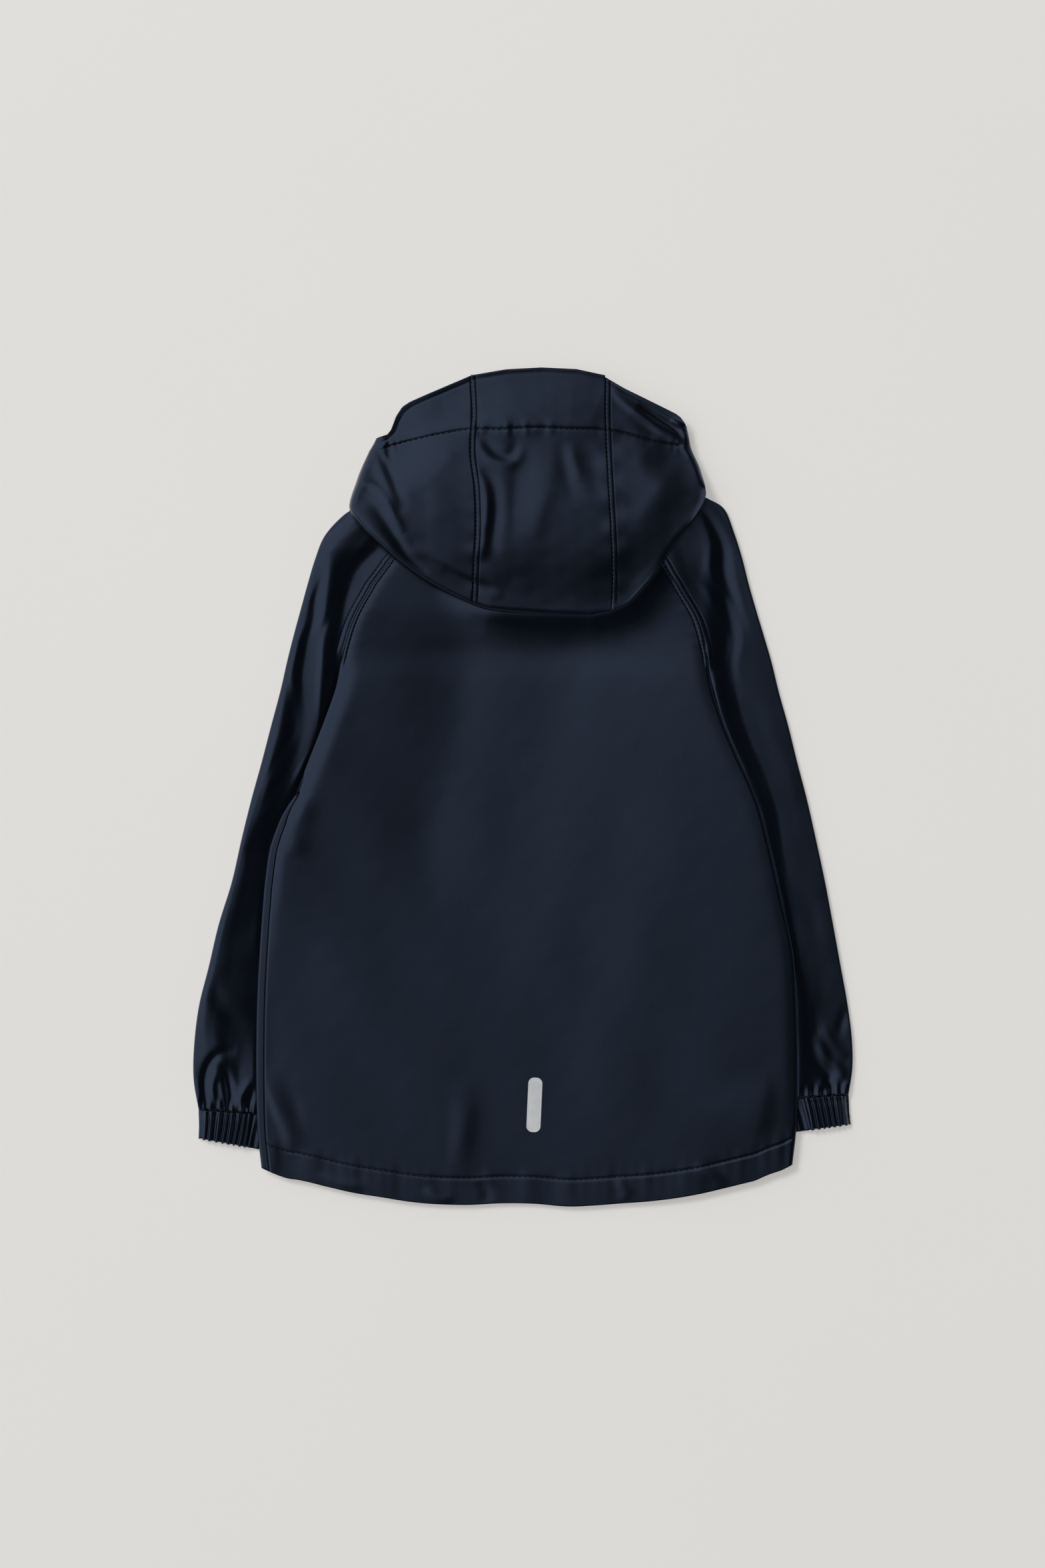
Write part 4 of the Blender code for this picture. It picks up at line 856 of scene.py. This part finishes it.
def hood_points(x, y, layer, on_back):
    """Points of the hood's outer face: layer 1 on top, layer -1 beneath."""
    shape = x.shape
    flat_x, flat_y = x.ravel(), y.ravel()
    edge_gap = nearest_on(FOLD_LINE, flat_x, flat_y)[0].reshape(shape)
    turn = np.minimum(edge_gap / HOOD_EDGE_RADIUS, 1.0)
    roundness = np.sqrt(1.0 - (1.0 - turn) ** 2)
    rest = hood_rest(x, on_back)
    edge_height = rest + 0.45 * HOOD_EDGE_DEPTH
    if layer < 0:
        return np.stack([x, y, edge_height + (rest - edge_height) * roundness], axis=-1)
    inward = ease((edge_gap - HOOD_EDGE_RADIUS) / HOOD_CROWN_REACH)
    depth = HOOD_EDGE_DEPTH + (HOOD_DEPTH - HOOD_EDGE_DEPTH) * inward
    # Flatter towards the bag and the right side, and a little fuller again near both sides
    depth = depth - HOOD_BAG_DROP * ease((250.0 - y) / 102.0) - 0.00008 * (x - 8.0) ** 2 - 0.029 * x
    depth = depth + 0.008 * hinge(x - 66.0, 8.0) + 0.03 * hinge(-62.0 - x, 10.0)
    depth = depth + 0.03 * hinge(x - 80.0, 8.0) * ease((y - 225.0) / 40.0)
    rim_gap = nearest_on(RIM_LINE, flat_x, flat_y)[0].reshape(shape)
    from_rim = 0.15 + 0.85 * ease(rim_gap / RIM_REACH)
    top = RIM_HEIGHT + (hood_rest(x, settled(y)) + depth - RIM_HEIGHT) * from_rim
    relief = hood_relief(flat_x, flat_y, edge_gap.ravel()).reshape(shape)
    z = edge_height + (top - edge_height) * roundness + relief
    z = z + 0.4 * ease(1.0 - rim_gap / 3.5) - 0.3 * bell(rim_gap - 4.2, 0.8)
    return np.stack([x, y, z], axis=-1)


def make_hood_side(name, rows, side, material):
    """Side panel of the hood, from the seam on top round the edge to its under end."""
    final = len(rows) - 1
    bag_end = BAG_LINE[-1][0] if side > 0 else -BAG_LINE[0][0]
    positions = np.concatenate([
        np.linspace(0.0, 0.4, 9), np.linspace(0.4, NECK_SIDE_ROW, 76)[1:],
        np.linspace(NECK_SIDE_ROW, final, 92)[1:],
    ])
    top_grid, under_grid, backs = [], [], []
    for position in positions:
        row = {field: float(table_at(rows, field, position)) for field in rows[0]._fields}
        for field in ("under_x", "under_y"):
            row[field] = float(np.interp(position, range(len(rows)), column(rows, field)))
        seam_x = float(hood_seam_x(side, row["seam_y"])) - side * TUCKED
        seam = np.array([seam_x, row["seam_y"]])
        edge = np.array([seam_x if position >= final - 1e-9 else row["edge_x"], row["edge_y"]])
        under = np.array([row["under_x"], row["under_y"]])
        if row["under_x"] * side < bag_end + 0.4 and position > NECK_SIDE_ROW:
            under[0] = float(hood_seam_x(side, under[1])) - side * TUCKED
        backs.append(float(ease(position - NECK_SIDE_ROW)))
        for target, grid, top in ((seam, top_grid, True), (under, under_grid, False)):
            reach = max(float(np.linalg.norm(target - edge)), 1e-6)
            first = min(HOOD_EDGE_RADIUS, 0.45 * reach)
            far = np.linspace(first, reach, 20)[1:]
            if top:
                stop = max(reach - EDGE_STEPS[-1], first + 0.55 * (reach - first))
                close = reach - (reach - stop) / EDGE_STEPS[-1] * EDGE_STEPS[::-1]
                far = np.concatenate([np.linspace(first, stop, 36)[1:-1], close])
            line = np.concatenate([first * EDGE_TURN, far])
            run = (target - edge) / reach
            across = np.array([-run[1], run[0]]) * (-side if top else 0.0)
            bowed = row["bulge"] * bow(line / reach, side)
            grid.append(edge + line[:, None] * run + bowed[:, None] * across)
    on_back = np.array(backs)[:, None]
    top_xy, under_xy = np.array(top_grid), np.array(under_grid)
    top = hood_points(top_xy[..., 0], top_xy[..., 1], 1, on_back)
    seam_gap = (top[..., 0] - hood_seam_x(side, top[..., 1])) * side
    top[..., 2] -= 1.0 - ease((seam_gap + 0.2) / 0.9)
    under = hood_points(under_xy[..., 0], under_xy[..., 1], -1, on_back)
    points = np.concatenate([top[:, ::-1], under[:, 1:]], axis=1)
    return shell(name, points, material, facing_up(top[:, ::-1]))


def bag_y(x):
    """Folded end of the bag on the middle panel."""
    return np.interp(x, *zip(*BAG_LINE))


def make_hood_center(material):
    """Middle strip of the hood, over the top, round the bag and back to the neck."""
    near = EDGE_STEPS / HOOD_CENTER_WIDTH
    middle = np.linspace(EDGE_STEPS[-1], HOOD_CENTER_WIDTH - EDGE_STEPS[-1], 46)[1:-1] / HOOD_CENTER_WIDTH
    shares = np.concatenate([near, middle, 1.0 - near[::-1]])
    down = [np.linspace(0.0, 0.05, 9), np.linspace(0.05, 0.4, 66)[1:], np.linspace(0.4, 1.0, 72)[1:]]
    rim_y, end_y = 345.0, 150.0         # about where the seams begin and end

    def across(y):
        left, right = (float(hood_seam_x(side, y)) - side * SEAM_GAP for side in (-1, 1))
        return left + (right - left) * shares

    grid = []
    for share in np.concatenate(down):
        x = across(rim_y + (end_y - rim_y) * share)
        rim = np.interp(x, *zip(*HOOD_RIM))
        grid.append((x, rim + (bag_y(x) + HOOD_EDGE_RADIUS - rim) * share))
    x, y = np.array(grid).transpose(1, 0, 2)
    top = hood_points(x, y, 1, settled(y))
    x = across(end_y)
    bag = bag_y(x)
    over = bag + HOOD_EDGE_RADIUS * EDGE_TURN[:-1][::-1, None]
    to_neck = (HOOD_NECK_Y - bag - HOOD_EDGE_RADIUS) * np.linspace(0.0, 1.0, 16)[:, None]
    low = np.concatenate([over[::-1][1:], bag + HOOD_EDGE_RADIUS + to_neck])
    bend = hood_points(np.broadcast_to(x, over.shape), over, 1, 1.0)
    beneath = hood_points(np.broadcast_to(x, low.shape), low, -1, 1.0)
    return shell("hood_middle", np.concatenate([top, bend, beneath]), material, facing_up(top))


# Materials


def wire(tree, node, inputs):
    """Give a node's inputs their values, or link those whose value is an output of another node."""
    for name, value in inputs.items():
        if isinstance(value, bpy.types.NodeSocket):
            tree.links.new(value, node.inputs[name])
        else:
            node.inputs[name].default_value = value
    return node


def add(tree, kind, inputs):
    """New shader node with its inputs."""
    return wire(tree, tree.nodes.new("ShaderNode" + kind), inputs)


def new_material(name):
    """New material, its nodes, its shader and the coordinates on the object."""
    material = bpy.data.materials.new(name)
    material.use_nodes = True
    tree = material.node_tree
    return material, tree, tree.nodes["Principled BSDF"], add(tree, "TexCoord", {}).outputs["Object"]


def noise(tree, place, scale, detail):
    """Noise texture on object coordinates."""
    inputs = {"Scale": scale, "Detail": detail, "Roughness": 0.5, "Vector": place}
    return add(tree, "TexNoise", inputs).outputs["Fac"]


def cells(tree, place, scale):
    """Small cells on object coordinates."""
    return add(tree, "TexVoronoi", {"Scale": scale, "Vector": place}).outputs["Distance"]


def ramp(tree, factor, low, high):
    """Two colours over a factor."""
    node = add(tree, "ValToRGB", {"Fac": factor})
    for step, place, color in zip(node.color_ramp.elements, (0.3, 0.7), (low, high)):
        step.position = place
        step.color = (*color, 1.0)
    return node.outputs["Color"]


def bump(tree, height, strength, distance, **more):
    """Bump from a height."""
    inputs = {"Strength": strength, "Distance": distance, "Height": height, **more}
    return add(tree, "Bump", inputs).outputs["Normal"]


def spread(tree, factor, low, high, start=0.3, end=0.7, kind="LINEAR"):
    """Map a factor to a range."""
    inputs = {"From Min": start, "From Max": end, "To Min": low, "To Max": high, "Value": factor}
    node = add(tree, "MapRange", inputs)
    node.interpolation_type = kind
    return node.outputs["Result"]


def coated_cloth(name):
    """Soft coated rain cloth: satin, with a faint knit under the film and fine handling marks."""
    material, tree, shader, place = new_material(name)
    broad = noise(tree, place, 14.0, 4.0)
    marks = bump(tree, noise(tree, place, 160.0, 2.0), 0.01, 0.0012)
    wire(tree, shader, {
        "Base Color": ramp(tree, broad, (0.0017, 0.0025, 0.0040), (0.0020, 0.0029, 0.0046)),
        "Roughness": spread(tree, noise(tree, place, 60.0, 3.0), 0.255, 0.285),
        "Normal": bump(tree, cells(tree, place, 1500.0), 0.07, 0.00012, Normal=marks),
        "Specular IOR Level": 0.90,
        "Specular Tint": (0.47, 0.64, 1.0, 1.0),
    })
    return material


def thread_material():
    """Navy sewing thread with a fine twist."""
    material, tree, shader, place = new_material("thread")
    twist = add(tree, "TexWave", {"Scale": 900.0, "Vector": place})
    twist.wave_type = "BANDS"
    twist.bands_direction = "DIAGONAL"
    fiber = twist.outputs["Fac"]
    wire(tree, shader, {
        "Base Color": ramp(tree, fiber, (0.0010, 0.0014, 0.0024), (0.0022, 0.0030, 0.0048)),
        "Normal": bump(tree, fiber, 0.4, 0.0001),
        "Roughness": 0.8,
        "Specular IOR Level": 0.15,
    })
    return material


def reflective_material():
    """Plain light grey reflective film with a faint grid of cells."""
    material, tree, shader, place = new_material("reflective_film")
    wire(tree, shader, {
        "Base Color": ramp(tree, noise(tree, place, 120.0, 3.0), (0.68, 0.69, 0.70), (0.78, 0.79, 0.80)),
        "Normal": bump(tree, cells(tree, place, 1100.0), 0.1, 0.0001),
        "Roughness": 0.42,
        "Metallic": 0.15,
    })
    return material


def snap_material():
    """Dark moulded plastic."""
    material, tree, shader, place = new_material("snap_plastic")
    fine = noise(tree, place, 900.0, 4.0)
    wire(tree, shader, {
        "Base Color": ramp(tree, fine, (0.012, 0.015, 0.024), (0.02, 0.024, 0.036)),
        "Roughness": spread(tree, fine, 0.28, 0.4),
        "Normal": bump(tree, fine, 0.1, 0.0001),
    })
    return material


# Stitches


def surface_under(pieces):
    """Trees of the shown faces of pieces, for finding their height at a place."""
    graph = bpy.context.evaluated_depsgraph_get()
    return [BVHTree.FromObject(piece, graph) for piece in pieces]


def height_at(trees, x, y):
    """Highest point and its normal at a place in millimetres, or None."""
    best = None
    for tree in trees:
        hit, normal, _, _ = tree.ray_cast(Vector((x * MM, y * MM, 0.2)), Vector((0.0, 0.0, -1.0)))
        if hit is not None and (best is None or hit.z > best[0].z):
            best = hit, normal
    return best


def stitches(name, lines, trees, material, pitch=4.6, length=3.3, radius=0.34):
    """Row of thread stitches on lines of points (millimetres), each laid on the surface beneath."""
    vertices, faces = [], []
    ring = [(math.cos(math.tau * k / 6), math.sin(math.tau * k / 6)) for k in range(6)]
    sizes = {0.0: 0.15, 0.18: 0.85, 0.5: 1.0, 0.82: 0.85, 1.0: 0.15}      # thickness along a stitch
    for line in lines:
        along = np.concatenate([[0.0], np.cumsum(np.hypot(*np.diff(line, axis=0).T))])
        for begin in np.arange(0.4, along[-1] - length, pitch):
            places = [begin + length * part for part in sizes]
            xs, ys = (np.interp(places, along, line[:, axis]) for axis in (0, 1))
            spots = [height_at(trees, float(x), float(y)) for x, y in zip(xs, ys)]
            if None in spots or abs(spots[0][0].z - spots[-1][0].z) > 0.004:
                continue
            faces += ring_faces(len(vertices), len(ring), len(sizes))
            run = (spots[-1][0] - spots[0][0]).normalized()
            for (spot, normal), size in zip(spots, sizes.values()):
                across = run.cross(normal).normalized()
                centre = spot + normal * (0.12 * MM)
                vertices += [tuple(centre + (across * a + normal * b) * (radius * size * MM)) for a, b in ring]
    return new_piece(name, vertices, faces, material)


# Small pieces


def make_reflector(material, trees):
    """Rounded reflective strip that follows the cloth, with a pressed edge."""
    half_width, half_length, radius = 5.85, 22.5, 4.914
    center_x, center_y, tilt = 9.4, -261.5, math.radians(-2.5)
    outline = []
    for sign_x, sign_y, start in ((1, 1, 0), (-1, 1, 90), (-1, -1, 180), (1, -1, 270)):
        for step in range(9):
            angle = math.radians(start + 90 * step / 8)
            outline.append((sign_x * (half_width - radius) + radius * math.cos(angle),
                            sign_y * (half_length - radius) + radius * math.sin(angle)))
    # Inset from the outline and height above the cloth
    rings = ((0.0, 0.05), (0.0, 0.35), (0.12, 0.62), (0.45, 0.70), (0.9, 0.56), (1.5, 0.62), (3.0, 0.64),
             (4.6, 0.64))
    vertices = []
    for inset, rise in rings:
        for x, y in outline:
            x, y = x * ((half_width - inset) / half_width), y * ((half_length - inset) / half_length)
            place_x = center_x + x * math.cos(tilt) - y * math.sin(tilt)
            place_y = center_y + x * math.sin(tilt) + y * math.cos(tilt)
            found = height_at(trees, place_x, place_y)
            vertices.append((place_x * MM, place_y * MM, found[0].z + rise * MM))
    return new_piece("reflective_strip", vertices, ring_faces(0, len(outline), len(rings)), material)


def make_snap(number, material):
    """Turned snap cap, facing down: a low dome in a raised rim."""
    profile = [(0.0, 0.12), (1.6, 0.08), (3.0, 0.22), (3.7, 0.34), (4.2, 0.22), (5.0, 0.02), (5.7, 0.0),
               (6.0, 0.14), (6.0, 0.6), (5.6, 0.78), (0.0, 0.8)]
    segments, first_y, spacing = 40, 160.0, 95.0
    x0, y0 = CENTER_X, first_y - spacing * number
    vertices, faces, rings = [], [], []
    for radius, z in profile:
        ring = []
        for k in range(segments if radius > 0 else 1):
            angle = math.tau * k / segments
            ring.append(len(vertices))
            x, y = x0 + radius * math.cos(angle), y0 + radius * math.sin(angle)
            vertices.append((x * MM, y * MM, z * MM))
        rings.append(ring)
    for lower, upper in zip(rings, rings[1:]):
        for k in range(segments):
            a, b = lower[k % len(lower)], lower[(k + 1) % len(lower)]
            c, d = upper[(k + 1) % len(upper)], upper[k % len(upper)]
            faces.append(tuple(dict.fromkeys((b, a, d, c))))
    return new_piece(f"snap_cap_{number + 1}", vertices, faces, material)


# Stage

# Brightness of the soft surroundings, from away from the light (0) to towards it (1)
SKY = [(0.0, 0.02), (1.0, 0.86), (0.735, 0.01), (0.777, 0.06), (0.82, 0.385), (0.863, 0.82)]
LOW_SKY = 0.22          # brightness near the horizon, all round


def make_stage():
    """Pale floor, soft light from the upper left and a camera straight above."""
    material, tree, shader, place = new_material("floor_paper")
    wire(tree, shader, {
        "Base Color": ramp(tree, noise(tree, place, 3.0, 2.0), (0.50, 0.49, 0.471), (0.506, 0.496, 0.477)),
        "Roughness": 0.9,
        "Specular IOR Level": 0.1,
        "Emission Color": (1.0, 0.98, 0.94, 1.0),
        "Emission Strength": 0.372,
    })
    half, depth = 40.0, -0.0004         # half its width, and its height just below the coat
    corners = [(-half, -half, depth), (half, -half, depth), (half, half, depth), (-half, half, depth)]
    floor = new_piece("floor", corners, [(0, 1, 2, 3)], material)

    world = bpy.data.worlds.new("studio")
    bpy.context.scene.world = world
    world.use_nodes = True
    tree = world.node_tree
    place = add(tree, "TexCoord", {}).outputs["Generated"]
    toward = add(tree, "VectorMath", {0: place, 1: (-0.70, 0.32, 0.64)})
    toward.operation = "DOT_PRODUCT"
    sky = add(tree, "ValToRGB", {"Fac": spread(tree, toward.outputs["Value"], 0.0, 1.0, -1.0, 1.0)})
    steps = sky.color_ramp.elements
    for number, (share, level) in enumerate(SKY):
        step = steps[number] if number < 2 else steps.new(share)
        step.position = share
        step.color = (level * 0.97, level * 0.98, level, 1.0)
    height = add(tree, "SeparateXYZ", {0: place}).outputs["Z"]
    both = tree.nodes.new("ShaderNodeMix")
    both.data_type = "RGBA"
    both.blend_type = "LIGHTEN"
    low = spread(tree, height, LOW_SKY, 0.0, 0.35, 0.72, "SMOOTHSTEP")
    wire(tree, both, {"Factor": 1.0, "A": sky.outputs["Color"], "B": low})
    wire(tree, tree.nodes["Background"], {"Color": both.outputs["Result"], "Strength": 1.0})

    data = bpy.data.lights.new("key", "AREA")
    data.shape = "SQUARE"
    data.size = 3.8
    data.energy = 790.0
    key = placed("key", data)
    key_place = Vector((-6.7, 5.8, 9.0))
    key.location = key_place
    key.rotation_euler = (-key_place).to_track_quat("-Z", "Y").to_euler()
    key.visible_glossy = False

    bpy.context.scene.view_settings.view_transform = "Standard"
    camera = bpy.data.cameras.new("camera")
    distance, shown_height = 3.0, 1.2936
    camera.sensor_fit = "VERTICAL"
    camera.angle = 2.0 * math.atan(0.5 * shown_height / distance)
    camera.clip_end = 50.0
    eye = placed("camera", camera)
    eye.location = (-0.0005, 0.0028, distance)
    bpy.context.scene.camera = eye


def seam_path(side, offset, y_from, y_to):
    """Line along a raglan seam, offset towards the middle of the back."""
    ys = np.linspace(y_from, y_to, 60)
    return np.column_stack([body_edge(side, ys) - side * offset, ys])


def dress(piece, slot, *nodes):
    """Place a piece in the frame and hide the nodes that it stands for; the slot is not used."""
    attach(piece, "root")
    if nodes:
        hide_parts(*nodes)
    return piece


def panel(node, slot, make, *form):
    """Cloth panel in a cloth of its own."""
    return dress(make(*form, coated_cloth(slot)), slot, node)


def main():
    """Dress the whole coat."""
    back = panel("back_panel", "back_cloth", make_back)
    front_left = panel("front_left", "front_left_cloth", make_front, "left_front", -1)
    front_right = panel("front_right", "front_right_cloth", make_front, "right_front", 1)
    sleeve_left = panel("sleeve_left", "sleeve_left_cloth", make_sleeve,
                        "left_sleeve", LEFT_SLEEVE, LEFT_TOP, LEFT_SLEEVE_CREASES, -1)
    sleeve_right = panel("sleeve_right", "sleeve_right_cloth", make_sleeve,
                         "right_sleeve", RIGHT_SLEEVE, RIGHT_TOP, RIGHT_SLEEVE_CREASES, 1)
    cuff_left = panel("cuff_left", "cuff_left_cloth", make_cuff, "left_cuff", LEFT_SLEEVE, LEFT_CUFF, -1)
    cuff_right = panel("cuff_right", "cuff_right_cloth", make_cuff, "right_cuff", RIGHT_SLEEVE, RIGHT_CUFF, 1)
    hood_middle = panel("hood_center", "hood_center_cloth", make_hood_center)
    hood_left = panel("hood_side_left", "hood_left_cloth", make_hood_side, "hood_left", LEFT_HOOD, -1)
    hood_right = panel("hood_side_right", "hood_right_cloth", make_hood_side, "hood_right", RIGHT_HOOD, 1)

    back_trees = surface_under([back, front_left])
    hood_trees = surface_under([hood_middle, hood_left, hood_right])
    sleeve_trees = surface_under([sleeve_left, sleeve_right, back])
    dress(make_reflector(reflective_material(), back_trees), "reflective_film", "reflector")
    snap = snap_material()
    for number in range(5):
        dress(make_snap(number, snap), "snap_plastic", f"snap_{number + 1}")

    thread = thread_material()
    small = {"pitch": 3.6, "length": 2.6, "radius": 0.2}
    xs = np.linspace(-213.0, 219.0, 300)                # along the hem
    hem_line = np.column_stack([xs, hem_at(xs) + HEM_STITCH])
    dress(stitches("hem_stitches", [hem_line], back_trees, thread), "back_cloth")
    # Two rows beside each raglan seam on the back, and one on the sleeve
    raglans = [seam_path(side, offset, 186.0, 104.0) for side, band in zip((-1, 1), RAGLAN_BAND)
               for offset in (0.6, band, -5.4)]
    dress(stitches("raglan_stitches", raglans, sleeve_trees, thread, **small), "back_cloth")
    ys = np.linspace(338.0, 152.0, 120)                 # along the hood's seams
    seams = [np.column_stack([hood_seam_x(side, ys) + offset, ys]) for side in (-1, 1)
             for offset in (0.7, 4.0)]
    dress(stitches("hood_seam_stitches", seams, hood_trees, thread, **small), "hood_center_cloth")
    dress(stitches("casing_stitches", [CASING_LINE], hood_trees, thread), "hood_center_cloth")

    make_stage()


main()
